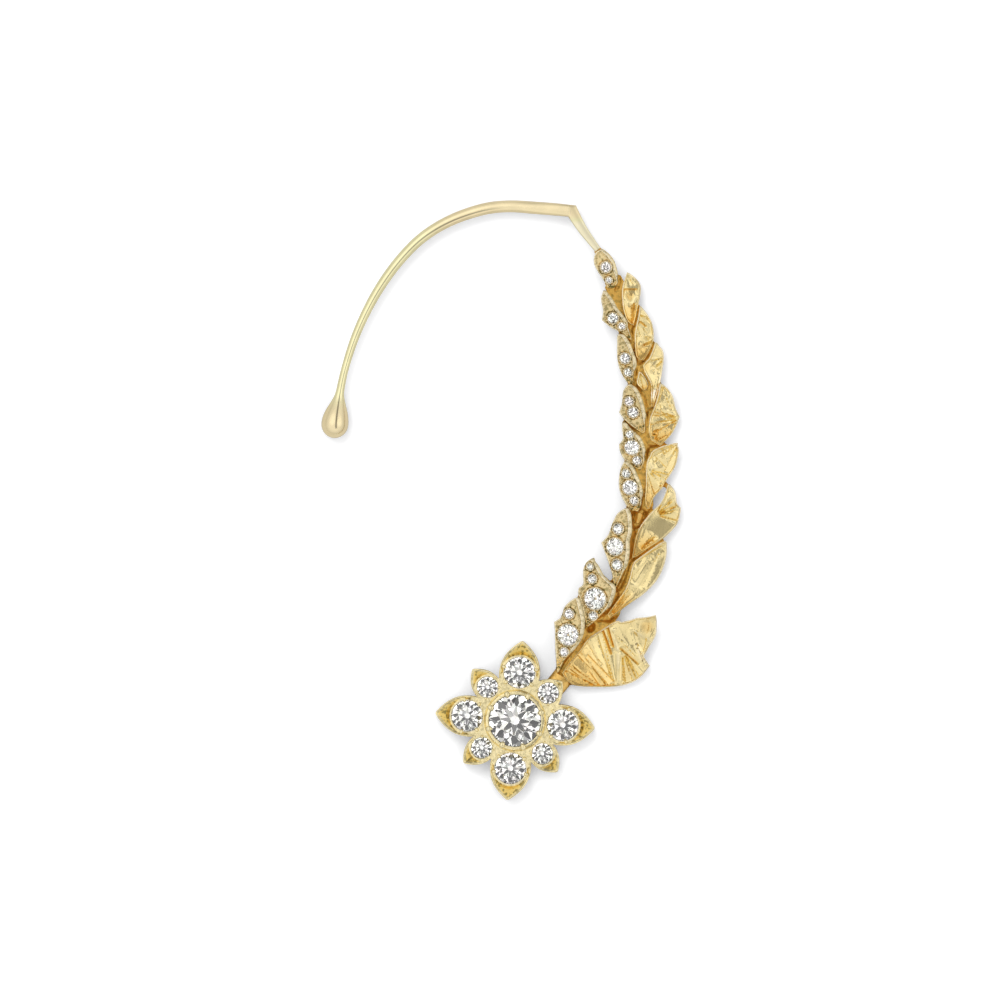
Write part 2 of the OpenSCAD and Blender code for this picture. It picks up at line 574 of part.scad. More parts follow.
// Flower
function is_small(i) = i % 2 == 1;
function reach(i) = i == hidden_petal ? hidden_reach : is_small(i) ? small_reach : petal_reach;
function breadth(i) = i == hidden_petal ? hidden_w : is_small(i) ? small_w : petal_w;
function stone_r(i) = is_small(i) ? small_stone_r : large_stone_r;
function stone_d(i) = is_small(i) ? small_stone_d : petal_stone_d;
function girdle_z(i) = is_small(i) ? small_girdle : petal_girdle;
function tip_start(i) = reach(i) - tip_len * breadth(i) / petal_w;
function petal_side(i, rim, point, from) = [for (k = [0:tip_steps]) let(s = lerp(from, 1, k / tip_steps))
  [lerp(tip_start(i), reach(i) - point, s), (breadth(i) / 2 - rim) * (1 - pow(s, tip_power))]];
function mirrored(points) = [for (p = reversed(points)) [p[X], -p[Y]]];
module on_petal(i) {
  translate([FLOWER_AT[X], FLOWER_AT[Y], 0])
    rotate(petal_pitch * i - flower_turn)
      children();
}
module petal_plan(i) {
  side = petal_side(i, 0, 0, 0);
  root = [0, breadth(i) * root_share];
  polygon(concat([root], side, mirrored([for (k = [0:tip_steps - 1]) side[k]]), mirrored([root])));
}
module ledge_plan(i) {
  translate([stone_r(i), 0])
    circle(d = stone_d(i) + 2 * ledge_w);
}
module tip_plan(i) {
  side = petal_side(i, petal_rim, point_rim, hollow_from);
  polygon(concat(side, mirrored([for (k = [0:tip_steps - 1]) side[k]])));
}
module grain(stone) {
  d = stone * grain_share;
  translate([grain_r(stone, d), 0, 0])
    sphere(d = d, $fn = 20);
}
module at_stone(i) {
  translate([stone_r(i), 0, girdle_z(i)])
    children();
}
module at_centre(z) {
  translate([FLOWER_AT[X], FLOWER_AT[Y], z])
    rotate(-flower_turn)
      children();
}
module stem_slot() {
  far = flat(STEM[0]);
  near = flat(STEM[1]);
  heading = atan2(near[Y] - far[Y], near[X] - far[X]);
  translate([far[X], far[Y], 0])
    rotate(heading)
      translate([-slot_gap, -foot_w / 2 - slot_gap, -through])
        cube([slot_len, foot_w + 2 * slot_gap, stem_h + slot_gap + through]);
}
module flower_body() {
  linear_extrude(petal_h) {
    at_centre(0)
      circle(r = centre_r);
    for (i = [0:PETALS - 1])
      on_petal(i) {
        petal_plan(i);
        ledge_plan(i);
      }
  }
  at_centre(0)
    cylinder(r1 = centre_r + petal_h * collet_slope, r2 = centre_r - (centre_h - petal_h) * collet_slope,
      h = centre_h);
}
module tip_pockets() {
  for (i = [0:PETALS - 1])
    on_petal(i)
      translate([0, 0, petal_h - tip_hollow])
        linear_extrude(through)
          difference() {
            tip_plan(i);
            ledge_plan(i);
          }
}
module flower_grains() {
  for (i = [0:PETALS - 1])
    on_petal(i)
      at_stone(i)
        for (a = PETAL_GRAIN_ANGLES)
          rotate(a)
            grain(stone_d(i));
  at_centre(centre_girdle)
    for (a = [petal_pitch / 2:petal_pitch:359])
      rotate(a)
        grain(centre_stone_d);
}
module flower_setting() {
  color(gold)
    difference() {
      union() {
        difference() {
          flower_body();
          tip_pockets();
        }
        flower_grains();
      }
      for (i = [0:PETALS - 1])
        on_petal(i)
          at_stone(i)
            seat(stone_d(i));
      at_centre(centre_girdle)
        seat(centre_stone_d);
      stem_slot();
    }
}
module petal_stone(i) {
  color(diamond)
    on_petal(i)
      at_stone(i)
        cut_stone(stone_d(i));
}
module centre_stone() {
  color(diamond)
    at_centre(centre_girdle)
      cut_stone(centre_stone_d);
}

ear_hook();
branch_stem();
flower_setting();
centre_stone();
gold_leaf(BUD_LEAF);  // bud_leaf
for (i = [0:PETALS - 1])
  petal_stone(i);
for (i = [0:len(DIAMOND_LEAVES) - 1])
  diamond_leaf(DIAMOND_LEAVES[i]);
for (i = [0:len(GOLD_LEAVES) - 1])
  gold_leaf(GOLD_LEAVES[i]);
for (i = [0:len(DIAMOND_LEAVES) - 1])
  for (k = [0:len(DIAMOND_LEAVES[i][STONES]) - 1])
    leaf_stone(DIAMOND_LEAVES[i], DIAMOND_LEAVES[i][STONES][k]);
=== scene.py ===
"""Looks of the over-the-ear diamond earring: polished wire, chased and set leaves, diamond flower."""

import math
from collections import namedtuple

import bmesh
import bpy
import numpy as np
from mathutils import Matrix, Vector
from mathutils.bvhtree import BVHTree
from mathutils.geometry import delaunay_2d_cdt


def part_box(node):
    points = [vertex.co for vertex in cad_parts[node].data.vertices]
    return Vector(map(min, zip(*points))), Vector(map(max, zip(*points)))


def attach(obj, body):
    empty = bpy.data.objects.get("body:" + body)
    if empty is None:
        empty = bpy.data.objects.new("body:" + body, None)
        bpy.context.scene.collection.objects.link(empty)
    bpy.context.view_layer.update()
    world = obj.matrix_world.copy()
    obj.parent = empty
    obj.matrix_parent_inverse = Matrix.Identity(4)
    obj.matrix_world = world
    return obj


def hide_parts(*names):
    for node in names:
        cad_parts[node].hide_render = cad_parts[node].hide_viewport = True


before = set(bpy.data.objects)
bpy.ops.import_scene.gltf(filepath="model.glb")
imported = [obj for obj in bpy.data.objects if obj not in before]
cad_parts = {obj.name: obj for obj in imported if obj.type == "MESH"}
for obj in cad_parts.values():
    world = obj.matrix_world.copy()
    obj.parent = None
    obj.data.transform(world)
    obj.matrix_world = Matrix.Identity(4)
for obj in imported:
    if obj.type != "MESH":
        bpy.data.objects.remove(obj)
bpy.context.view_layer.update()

bl_info = {
    "name": "Diamond ear climber",
    "version": (1, 0, 0),
    "blender": (4, 5, 0),
    "location": "View3D > Sidebar > Earring",
    "description": "Dresses the solids of an over-the-ear diamond earring and sets its stage",
    "category": "Object",
}

# Sizes are in metres
MM = 0.001
WELD = 1e-7
UP = np.array((0.0, 0.0, 1.0))
LEVEL = np.array((1, 1, 0))
BODY = "root"

# Heights are read by rays from overhead
OVERHEAD = 1.0
DOWN = Vector((0, 0, -1))

# How many points are measured against an outline at once
BATCH = 2048

# How the pieces are named in the frame
DIAMOND_LEAVES = sorted(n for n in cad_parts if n.startswith("diamond_leaf") and "stone" not in n)
GOLD_LEAVES = sorted(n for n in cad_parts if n.startswith("gold_leaf"))
STONES = sorted(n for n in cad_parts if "stone" in n)
PETAL_STONES = sorted(n for n in STONES if n.startswith("petal"))

# Chisel cuts: where a cut turns into the next ridge, as a share of its width, and how uneven they are
RIDGE = 0.7
UNEVEN = 0.28

# Over what length a fan's cuts begin and end, in mm
FAN_BEGINS = 0.3
FAN_ENDS = 0.35

# Where a single stroke begins and ends: before its end point, and at full depth after it, in mm
STROKE_BEFORE = 0.1
STROKE_FULL = 0.25

# Fans of chisel cuts on the gold leaves; each fan runs out from a point
Fan = namedtuple("Fan", "x y first_angle last_angle cuts near far depth")
FANS = {
    # centre x and y in mm, first and last angle in degrees, number of cuts, from and to in mm, depth in mm
    "gold_leaf_1": [
        (12.3, 23.0, 270, 325, 2, 0.6, 1.9, 0.08),
        (13.2, 17.2, 60, 120, 3, 0.4, 2.6, 0.10),
    ],
    "gold_leaf_2": [
        (13.3, 18.9, 265, 345, 4, 0.6, 3.0, 0.10),
        (15.5, 16.2, 150, 235, 3, 0.3, 2.2, 0.10),
    ],
    "gold_leaf_3": [(16.4, 14.3, 170, 250, 3, 0.2, 2.2, 0.11)],
    "gold_leaf_4": [
        (18.0, 8.3, 150, 222, 5, 0.4, 3.4, 0.12),
        (15.8, 11.9, 262, 305, 3, 0.4, 3.2, 0.11),
        (15.2, 5.7, 20, 80, 3, 0.3, 2.3, 0.10),
    ],
    "gold_leaf_5": [
        (17.9, 5.9, 185, 262, 4, 0.3, 3.6, 0.11),
        (14.5, 3.2, 275, 370, 5, 0.5, 3.0, 0.10),
    ],
    "gold_leaf_6": [
        (15.5, -1.5, -25, 80, 6, 0.25, 2.4, 0.13),
        (13.4, -5.5, 25, 70, 3, 0.8, 3.0, 0.09),
        (16.9, 2.2, 235, 275, 2, 0.8, 3.0, 0.07),
    ],
    "gold_leaf_7": [
        (16.4, -4.0, 215, 255, 3, 1.2, 5.4, 0.08),
        (10.6, -12.0, 40, 64, 3, 0.8, 4.0, 0.08),
    ],
    "gold_leaf_8": [
        (12.1, -14.7, 262, 312, 6, 0.7, 3.8, 0.09),
        (14.4, -9.0, 256, 284, 5, 2.6, 4.3, 0.05),
        (11.6, -19.5, 92, 164, 8, 0.8, 7.6, 0.11),
        (14.0, -16.2, 60, 150, 4, 0.6, 4.4, 0.10),
    ],
    "bud_leaf": [(13.9, 13.2, 240, 300, 3, 0.2, 1.8, 0.08)],
}

# Single chisel strokes over the fans: a cut has a depth over zero, and a ridge one below it
Stroke = namedtuple("Stroke", "x y to_x to_y left right depth")
STROKES = {
    # from x and y, to x and y, width to the left and to the right, depth, all in mm
    "gold_leaf_1": [
        (12.2, 21.1, 13.7, 21.1, 0.12, 0.8, 0.18),
        (12.4, 20.9, 13.0, 19.9, 0.3, 0.3, 0.12),
        (13.6, 20.6, 13.0, 19.2, 0.2, 0.4, -0.08),
    ],
    "gold_leaf_2": [
        (13.8, 18.0, 14.6, 17.3, 0.2, 0.4, 0.18),
        (14.0, 16.5, 14.6, 15.8, 0.2, 0.2, -0.09),
        (15.2, 16.5, 14.6, 15.8, 0.2, 0.2, -0.09),
        (14.0, 15.8, 14.6, 15.2, 0.2, 0.2, -0.08),
    ],
    "gold_leaf_3": [
        (15.0, 13.6, 15.9, 12.9, 0.2, 0.5, 0.12),
        (15.9, 12.4, 15.2, 9.8, 0.3, 0.3, -0.06),
    ],
    "gold_leaf_4": [
        (16.5, 11.8, 15.7, 9.6, 0.8, 0.15, 0.14),
        (16.0, 9.3, 17.4, 8.6, 0.3, 0.25, -0.10),
        (15.9, 9.0, 16.8, 8.2, 0.15, 0.4, 0.15),
        (16.0, 8.6, 17.0, 7.9, 0.2, 0.2, -0.08),
        (15.9, 7.7, 17.6, 7.7, 0.1, 0.5, 0.11),
        (15.1, 6.7, 15.6, 6.6, 0.15, 0.2, 0.20),
        (16.2, 7.0, 17.1, 6.1, 0.5, 0.15, 0.09),
    ],
    "gold_leaf_5": [
        (15.3, 4.6, 16.8, 3.1, 0.7, 0.15, 0.13),
        (16.0, 5.2, 16.4, 4.5, 0.15, 0.25, 0.14),
        (16.4, 5.2, 16.7, 4.6, 0.1, 0.2, 0.12),
        (14.9, 3.9, 16.0, 1.4, 0.3, 0.4, -0.07),
        (16.6, 3.9, 17.6, 4.6, 0.3, 0.3, 0.09),
    ],
    "gold_leaf_6": [(15.6, -1.4, 17.3, 1.0, 0.3, 0.3, -0.07)],
    "gold_leaf_7": [
        (13.2, -6.3, 16.2, -4.5, 0.12, 0.6, 0.13),
        (12.6, -7.4, 10.9, -10.9, 0.12, 0.12, -0.08),
        (13.0, -7.2, 11.3, -10.9, 0.12, 0.3, 0.10),
        (14.9, -5.6, 13.2, -8.6, 0.5, 0.5, -0.06),
    ],
    "gold_leaf_8": [
        (10.2, -12.9, 11.1, -15.4, 0.12, 0.3, 0.22),
        (10.7, -12.6, 11.3, -14.7, 0.1, 0.25, 0.20),
        (8.6, -15.3, 11.4, -18.2, 0.15, 0.8, 0.16),
        (8.4, -14.6, 10.3, -16.5, 0.12, 0.6, 0.10),
        (9.5, -13.8, 10.8, -17.2, 0.1, 0.5, 0.09),
        (9.1, -16.6, 10.6, -18.5, 0.12, 0.45, 0.18),
        (8.8, -17.0, 9.8, -18.5, 0.12, 0.35, 0.12),
        (11.2, -12.7, 11.7, -15.1, 0.35, 0.3, -0.12),
        (11.7, -15.1, 11.8, -18.2, 0.3, 0.3, -0.12),
        (11.9, -14.7, 13.8, -16.4, 0.7, 0.15, 0.18),
        (11.5, -13.7, 12.8, -14.7, 0.25, 0.25, -0.10),
        (12.9, -12.8, 15.2, -14.1, 0.25, 0.3, -0.13),
        (12.9, -12.9, 13.3, -14.4, 0.5, 0.4, -0.06),
        (6.8, -16.8, 8.3, -18.0, 0.15, 0.15, -0.07),
        (7.1, -16.3, 8.1, -17.2, 0.15, 0.15, -0.07),
    ],
    "bud_leaf": [(13.9, 13.0, 14.3, 11.2, 0.4, 0.15, 0.10)],
}

# Patches of painted shade and painted highlight on the leaves: centre x and y and radius in mm, painted
# light (shade above 0, highlight below 0)
PAINTED_PATCHES = {
    "diamond_leaf_4": [(14.3, 7.0, 1.0, 1.0), (12.9, 12.0, 0.7, 0.6)],
    "diamond_leaf_5": [(13.9, -0.2, 0.6, 0.7)],
    "diamond_leaf_7": [(12.4, -7.6, 0.8, 0.8)],
    "diamond_leaf_8": [(9.6, -11.3, 0.8, 1.0)],
    "diamond_leaf_9": [(6.0, -16.4, 1.0, 1.0)],
    "gold_leaf_1": [(12.9, 20.5, 0.6, 0.7), (13.1, 18.9, 1.0, 0.6)],
    "gold_leaf_3": [(15.5, 10.6, 0.9, -0.9), (14.4, 13.3, 0.7, 0.5)],
    "gold_leaf_4": [(15.6, 8.7, 0.7, 0.4), (15.2, 6.2, 0.6, 0.8)],
    "gold_leaf_7": [(11.8, -10.4, 1.6, 0.8)],
    "gold_leaf_8": [(7.4, -16.6, 1.8, 0.7), (14.6, -12.6, 0.9, 0.55), (12.6, -17.2, 1.2, 0.3)],
}


# Rims of the leaves: rings of points inside the edge, the rounded edge, and where the field begins
RIM_RINGS = np.array((0.02, 0.05, 0.08, 0.12, 0.16, 0.21)) * MM
EDGE_DROP = 0.07 * MM
EDGE_ROUND = 0.06 * MM
RIM_TOP = 0.11 * MM
RIM_FOOT = 0.2 * MM

# Side walls of the leaves, from the top down: levels, how far each one rolls outwards, painted light (a
# painted highlight at the top, painted shade below)
WALL_LEVELS = (0, 0.12, 0.3, 0.65, 1.0)
WALL_ROLL = np.array((0, 0.6, 1.0, 0.5, 0))
WALL_PAINTED_LIGHT = (-0.2, -0.2, 0.0, 0.2, 0.3)

# Painted light of a chased leaf: cut and ridge at which its painted shade and painted highlight are full,
# cuts deep enough to be painted dark, and the width and strength of the painted highlight on its rim
FULL_CUT = 2.2 * MM
FULL_RIDGE = 0.7 * MM
CUT_SHADE_FROM = 0.17 * MM
CUT_SHADE_FULL = 0.26 * MM
RIM_HIGHLIGHT_WIDTH = 0.13 * MM
RIM_HIGHLIGHT = 0.5

# Seats of the stones below the girdle: drop at its edge and slope, which follow the stone's pavilion
SEAT_DROP = 0.06
SEAT_SLOPE = 0.86

# Round a leaf stone: reach of its seat, of the sunk moat and of the moat's painted shade, strength of that
# painted shade, and place of its grains
SEAT_REACH = 0.03 * MM
MOAT_REACH = 0.2 * MM
MOAT_SHADE_REACH = 0.3 * MM
MOAT_SHADE = 0.45
GRAIN_REACH = 0.08 * MM
GRAIN_RISE = 0.02 * MM

# Collar round a stone: its gap, depth as a share of the stone, and how far out and up in shares of its width
COLLAR_GAP = 0.015 * MM
COLLAR_DEPTH = 0.3
COLLAR_PROFILE = ((0.2, 0.2), (0.55, 0.22), (0.9, 0.0), (1.1, -0.9))

# Solder in cells: space round its plan, reach under the leaves, carrying on of heights, and evening out
PLAN_MARGIN = 12
UNDER_LEAVES = 3
CARRY_ON = 4
EVEN_OUT = 6

# Part of the ear wire's arm that the solder may reach: lower and upper corner in mm
ARM_END = ((8.4, 24.4), (10.6, 26.2))

# Ear wire: where its drop's neck widens and narrows again along y, by how much, and where along x the
# polish fades to the arm; places are in mm
NECK_BEGINS = (7.6, 9.4)
NECK_ENDS = (11.2, 9.6)
NECK_WIDER = 0.1 * MM
POLISH_FADES = (7.2, 6.6)

# The flower: height of its plate, raised metal and grains of the centre stone, petals, rings of points,
# angles of a petal stone's grains in degrees, and side walls
PLATE = 1.8 * MM
HUB_RIM = 0.5 * MM
HUB_GRAIN = 0.6 * MM
PETAL_HALF_WIDTH = 2.4 * MM
PETAL_SPOKES = 72
FIELD_RINGS = 58
GRAIN_ANGLES = (75, 130, 230, 285)
FLOWER_RIM = np.array((0, 0.02, 0.05, 0.1, 0.16, 0.22, 0.28)) * MM
HUB_RINGS = np.array((0.42, 0.36, 0.3, 0.22, 0.12, 0.03, -0.02, -0.6, -1.6)) * MM
FLOWER_WALL = (0, 0.08, 0.4, 0.8, 1.0)

# Stage in metres; the camera's lens and sensor are in mm
FLOOR_WIDTH = 3
LAMP_SIZE = (0.34, 0.22)
LAMP_PLACE = (-0.12, 0.25, 0.42)
LENS = 400
SENSOR = 36
CAMERA_PLACE = (-0.07 * MM, 0.07 * MM)


def settings():
    """The sizes and colours that the sidebar shows."""
    return bpy.context.scene.earring


# Shapes


class Shape:
    """Collects points and faces of one piece, with the painted light and the polish of each point: painted
    shade above 0, painted highlight below 0.
    """

    def __init__(self):
        self.points, self.faces, self.tint, self.polish = [], [], [], []
        self.count = 0

    def add(self, points, faces, tint=0.0, polish=0.0):
        """Adds points and faces; painted light and polish are one value for all points or one for each."""
        points = np.asarray(points, float).reshape(-1, 3)
        self.faces += [[i + self.count for i in f] for f in faces]
        self.points.append(points)
        self.tint.append(np.broadcast_to(np.asarray(tint, float).ravel(), len(points)))
        self.polish.append(np.broadcast_to(np.asarray(polish, float).ravel(), len(points)))
        self.count += len(points)

    def grid(self, points, tint=0.0, polish=0.0, closed=False, flip=False):
        """Adds rows by columns of points as quads; closed joins the last row to the first."""
        rows, cols = points.shape[:2]
        last = rows if closed else rows - 1
        faces = []
        for i in range(last):
            a, b = i * cols, (i + 1) % rows * cols
            for k in range(cols - 1):
                quad = [a + k, a + k + 1, b + k + 1, b + k]
                faces.append(quad[::-1] if flip else quad)
        self.add(points, faces, tint, polish)

    def lathe(self, centre, axis, profile, sides=40, tint=0.0, polish=1.0):
        """Adds a ring: profile is (radius, height) pairs from the inside, over the top, to the outside."""
        radius, height = np.array(profile).T
        spokes = all_round(axis, sides)
        points = centre + spokes[:, None] * radius[None, :, None] + (axis * height[:, None])[None]
        self.grid(points, tint, polish, closed=True, flip=True)

    def bead(self, centre, axis, size, stretch=None, tint=0.0, polish=1.0):
        """Adds a round bead; stretch is an optional vector by which it is drawn out both ways."""
        points = BEAD_POINTS * size / 2
        if stretch is not None:
            length = np.linalg.norm(stretch)
            points = points + np.outer(points @ (stretch / length), stretch / length) * length / size
        self.add(points + centre, BEAD_FACES, tint, polish)

    def finish(self, name, material, slot, nodes, sharp_angle=30):
        """Makes the object, lets it ride on the earring and stand for its CAD nodes."""
        mesh = bpy.data.meshes.new(name)
        mesh.from_pydata(np.concatenate(self.points).tolist(), [], self.faces)
        mark(mesh, "tint", np.concatenate(self.tint))
        mark(mesh, "polish", np.concatenate(self.polish))
        bm = bmesh.new()
        bm.from_mesh(mesh)
        bmesh.ops.remove_doubles(bm, verts=bm.verts, dist=WELD)
        bmesh.ops.dissolve_degenerate(bm, edges=bm.edges, dist=WELD)
        bmesh.ops.recalc_face_normals(bm, faces=bm.faces)
        bm.to_mesh(mesh)
        bm.free()
        return dress(mesh, name, material, nodes, sharp_angle)


def mark(mesh, label, values):
    """Gives each point of a mesh a value that the materials read by its label."""
    attribute = mesh.attributes.new(label, "FLOAT", "POINT")
    attribute.data.foreach_set("value", np.asarray(values, np.float32))


def dress(mesh, name, material, nodes, sharp_angle):
    """An object from a finished mesh, smooth but for its sharp edges, in its place on the earring."""
    mesh.shade_smooth()
    mesh.set_sharp_from_angle(angle=math.radians(sharp_angle))
    mesh.materials.clear()
    mesh.materials.append(material)
    piece = bpy.data.objects.new(name, mesh)
    bpy.context.scene.collection.objects.link(piece)
    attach(piece, BODY)
    if nodes:
        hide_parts(*nodes)
    return piece


def crossing(axis):
    """Two unit vectors at right angles to axis and to each other."""
    across = np.cross(axis, (0.0, 1.0, 0.0))
    across /= np.linalg.norm(across)
    return across, np.cross(axis, across)


def all_round(axis, count):
    """Unit vectors across an axis, evenly all round it."""
    across, side = crossing(axis)
    turn = np.arange(count) * 2 * math.pi / count
    return np.outer(np.cos(turn), across) + np.outer(np.sin(turn), side)


def spin(axis, turn):
    """Unit vector across axis at an angle."""
    across, side = crossing(axis)
    return across * math.cos(turn) + side * math.sin(turn)


def heading(angle):
    """Level unit vector at an angle."""
    return np.array((math.cos(angle), math.sin(angle), 0))


def between(one, other, levels):
    """Rows of points on the way from one line to another, at each of the levels from 0 to 1."""
    levels = np.array(levels)[None, :, None]
    return one[:, None] * (1 - levels) + other[:, None] * levels


def bead_template():
    """Points and faces of a ball with a radius of 1."""
    bm = bmesh.new()
    bmesh.ops.create_icosphere(bm, subdivisions=2, radius=1)
    points = np.array([v.co for v in bm.verts])
    faces = [[v.index for v in f.verts] for f in bm.faces]
    bm.free()
    return points, faces


BEAD_POINTS, BEAD_FACES = bead_template()


# Reading the CAD solids


def welded(node):
    """A bmesh copy of a CAD node with its split corners joined again."""
    bm = bmesh.new()
    bm.from_mesh(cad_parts[node].data)
    bmesh.ops.remove_doubles(bm, verts=bm.verts, dist=WELD * 10)
    return bm


def solid_tree(node):
    """A tree for reading the heights of a CAD node, and the node's lowest height."""
    bm = welded(node)
    tree = BVHTree.FromBMesh(bm)
    low = min(v.co.z for v in bm.verts)
    bm.free()
    return tree, low


def top_at(tree, x, y):
    """Height of a solid's top at a place in plan, or None beside the solid."""
    hit = tree.ray_cast(Vector((x, y, OVERHEAD)), DOWN)[0]
    return None if hit is None else hit.z


def outline(node, keep):
    """The longest closed loop of points round those faces of a CAD node that keep picks."""
    bm = welded(node)
    chosen = {f for f in bm.faces if keep(f)}
    # A dict keeps its order, so that each run starts at the same edge
    rim = dict.fromkeys(e for e in bm.edges if sum(f in chosen for f in e.link_faces) == 1)
    best, best_length = None, 0
    while rim:
        edge, _ = rim.popitem()
        here = edge.verts[1]
        loop = [np.array(edge.verts[0].co), np.array(here.co)]
        step = next((e for e in here.link_edges if e in rim), None)
        while step is not None:
            del rim[step]
            here = step.other_vert(here)
            loop.append(np.array(here.co))
            step = next((e for e in here.link_edges if e in rim), None)
        points = np.array(loop)
        length = np.linalg.norm(np.diff(points, axis=0), axis=1).sum()
        if length > best_length:
            best, best_length = points[:-1], length
    bm.free()
    if best is None:
        raise RuntimeError(f"{node} has no such outline")
    x, y = best[:, 0], best[:, 1]
    turned = (x * np.roll(y, -1) - y * np.roll(x, -1)).sum() < 0
    return best[::-1] if turned else best


def curve_through(loop, corner=38.0, step=0.05 * MM):
    """A closed, finely divided line through a loop of points, smooth except at its corners."""
    length = np.linalg.norm(np.roll(loop, -1, 0) - loop, axis=1)
    loop = loop[length > 10 * WELD]
    after = np.roll(loop, -1, 0) - loop
    length = np.linalg.norm(after, axis=1)
    ahead = after / length[:, None]
    behind = np.roll(ahead, 1, 0)
    tangent = ahead + behind
    tangent /= np.maximum(np.linalg.norm(tangent, axis=1), 1e-9)[:, None]
    sharp = (ahead * behind).sum(1) < math.cos(math.radians(corner))
    points = []
    for i in range(len(loop)):
        k = (i + 1) % len(loop)
        start = ahead[i] if sharp[i] else tangent[i]
        end = ahead[i] if sharp[k] else tangent[k]
        parts = max(1, round(length[i] / step))
        s = (np.arange(parts) / parts)[:, None]
        points.append(
            loop[i] * (2 * s**3 - 3 * s**2 + 1) + start * length[i] * (s**3 - 2 * s**2 + s)
            + loop[k] * (3 * s**2 - 2 * s**3) + end * length[i] * (s**3 - s**2)
        )
    return np.concatenate(points)


def stone_place(node):
    """Centre of the girdle, axis and radius of a CAD stone."""
    points = np.array([v.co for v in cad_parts[node].data.vertices])
    points = np.unique(np.round(points, 7), axis=0)
    culet = points[points[:, 2].argmin()]
    axis = points.mean(0) - culet
    axis /= np.linalg.norm(axis)
    along = (points - culet) @ axis
    off = np.linalg.norm(points - culet - np.outer(along, axis), axis=1)
    radius = off.max()
    girdle = along[off > 0.97 * radius].mean()
    return culet + axis * girdle, axis, radius


def smoothstep(a, b, x):
    """0 up to a and 1 from b on, with a soft way between them."""
    t = np.clip((x - a) / (b - a), 0, 1)
    return t * t * (3 - 2 * t)


def edge_distance(points, loop):
    """Distance in plan from each point to a closed line."""
    a, b = loop[:, :2], np.roll(loop[:, :2], -1, 0)
    ab = b - a
    length2 = np.maximum((ab**2).sum(1), 1e-18)
    flat = points.reshape(-1, points.shape[-1])[:, :2]
    best = np.full(len(flat), 1e9)
    for i in range(0, len(flat), BATCH):
        p = flat[i:i + BATCH, None]
        t = np.clip(((p - a) * ab).sum(2) / length2, 0, 1)
        best[i:i + BATCH] = np.linalg.norm(p - a - t[..., None] * ab, axis=2).min(1)
    return best.reshape(points.shape[:-1])


# Leaves


def inward(loop, normal):
    """Unit vectors that point into a closed line, seen along normal."""
    ahead = np.roll(loop, -2, 0) - np.roll(loop, 2, 0)
    into = np.cross(normal, ahead)
    return into / np.maximum(np.linalg.norm(into, axis=1), 1e-12)[:, None]


def is_inside(points, loop):
    """Which points lie inside a closed line, in plan."""
    a, b = loop[:, :2], np.roll(loop[:, :2], -1, 0)
    run = np.where(np.abs(b[:, 1] - a[:, 1]) < 1e-15, 1e-15, b[:, 1] - a[:, 1])
    inside = np.zeros(len(points), bool)
    for i in range(0, len(points), BATCH):
        x, y = points[i:i + BATCH, 0:1], points[i:i + BATCH, 1:2]
        spans = (a[:, 1] > y) != (b[:, 1] > y)
        left = x < (b[:, 0] - a[:, 0]) * (y - a[:, 1]) / run + a[:, 0]
        inside[i:i + BATCH] = (spans & left).sum(1) % 2 == 1
    return inside


def even_net(loop, spacing):
    """Points of an even triangular net that covers a closed line's box."""
    low, high = loop[:, :2].min(0), loop[:, :2].max(0)
    rows = np.arange(low[1], high[1], spacing * 0.866)
    columns = np.arange(low[0], high[0], spacing)
    x, y = np.meshgrid(columns, rows)
    x = x + (np.arange(len(rows)) % 2)[:, None] * spacing / 2
    return np.stack([x.ravel(), y.ravel()], 1)


def clear_of(points, marks, gap):
    """Which points are at least a gap away from all marks, along x or along y."""
    clear = np.ones(len(points), bool)
    if not len(marks):
        return clear
    for i in range(0, len(points), BATCH):
        clear[i:i + BATCH] = np.abs(points[i:i + BATCH, None] - marks[None]).max(2).min(1) >= gap
    return clear


def sheet(loop, spacing, marks=None, rings=RIM_RINGS):
    """Plan points and triangles that fill an outline, and which of the points are the outline's own."""
    plan = loop[:, :2]
    into = inward(loop * LEVEL, UP)[:, :2]
    points = [plan]
    for depth in rings:
        ring = plan + into * depth
        points.append(ring[edge_distance(ring, loop) > depth * 0.97])
    margin = (rings[-1] if len(rings) else 0) + spacing * 0.5
    net = even_net(loop, spacing)
    if marks is not None:
        marks = marks[is_inside(marks, loop)]
        marks = marks[edge_distance(marks, loop) > margin - spacing * 0.3]
        points.append(marks)
        net = net[clear_of(net, marks, spacing * 0.5)]
    net = net[is_inside(net, loop)]
    points.append(net[edge_distance(net, loop) > margin])
    flat = np.concatenate(points) / MM
    found = delaunay_2d_cdt([Vector(p) for p in flat], [], [list(range(len(plan)))], 1, 1e-4)
    rim = np.zeros(len(plan), int)
    for k, sources in enumerate(found[3]):
        for source in sources:
            if source < len(plan):
                rim[source] = k
    return np.array([tuple(v) for v in found[0]]) * MM, found[2], rim


def smoothed(values, faces, fixed, rounds):
    """Values of a triangle mesh's points, evened out with their neighbours but for the fixed points."""
    corners = np.array(faces)
    pairs = np.concatenate([corners[:, [0, 1]], corners[:, [1, 2]], corners[:, [2, 0]]])
    pairs = np.concatenate([pairs, pairs[:, ::-1]])
    count = np.bincount(pairs[:, 0], minlength=len(values))
    held = values[fixed].copy()
    for _ in range(rounds):
        values = np.bincount(pairs[:, 0], values[pairs[:, 1]], len(values)) / np.maximum(count, 1)
        values[fixed] = held
    return values


def rim_profile(distance, recess):
    """Height of a leaf's rounded rim over its field, at a distance from the edge."""
    edge = -EDGE_DROP * (1 - smoothstep(0, EDGE_ROUND, distance))
    return edge - recess * smoothstep(RIM_TOP, RIM_FOOT, distance)


def cut_angles(fan):
    """Angles at which the cuts of a fan begin and end, unevenly spaced as by hand."""
    k = np.arange(fan.cuts + 1)
    share = (k + UNEVEN * np.sin(2.4 * k + fan.x)) / fan.cuts
    return fan.first_angle + (fan.last_angle - fan.first_angle) * share


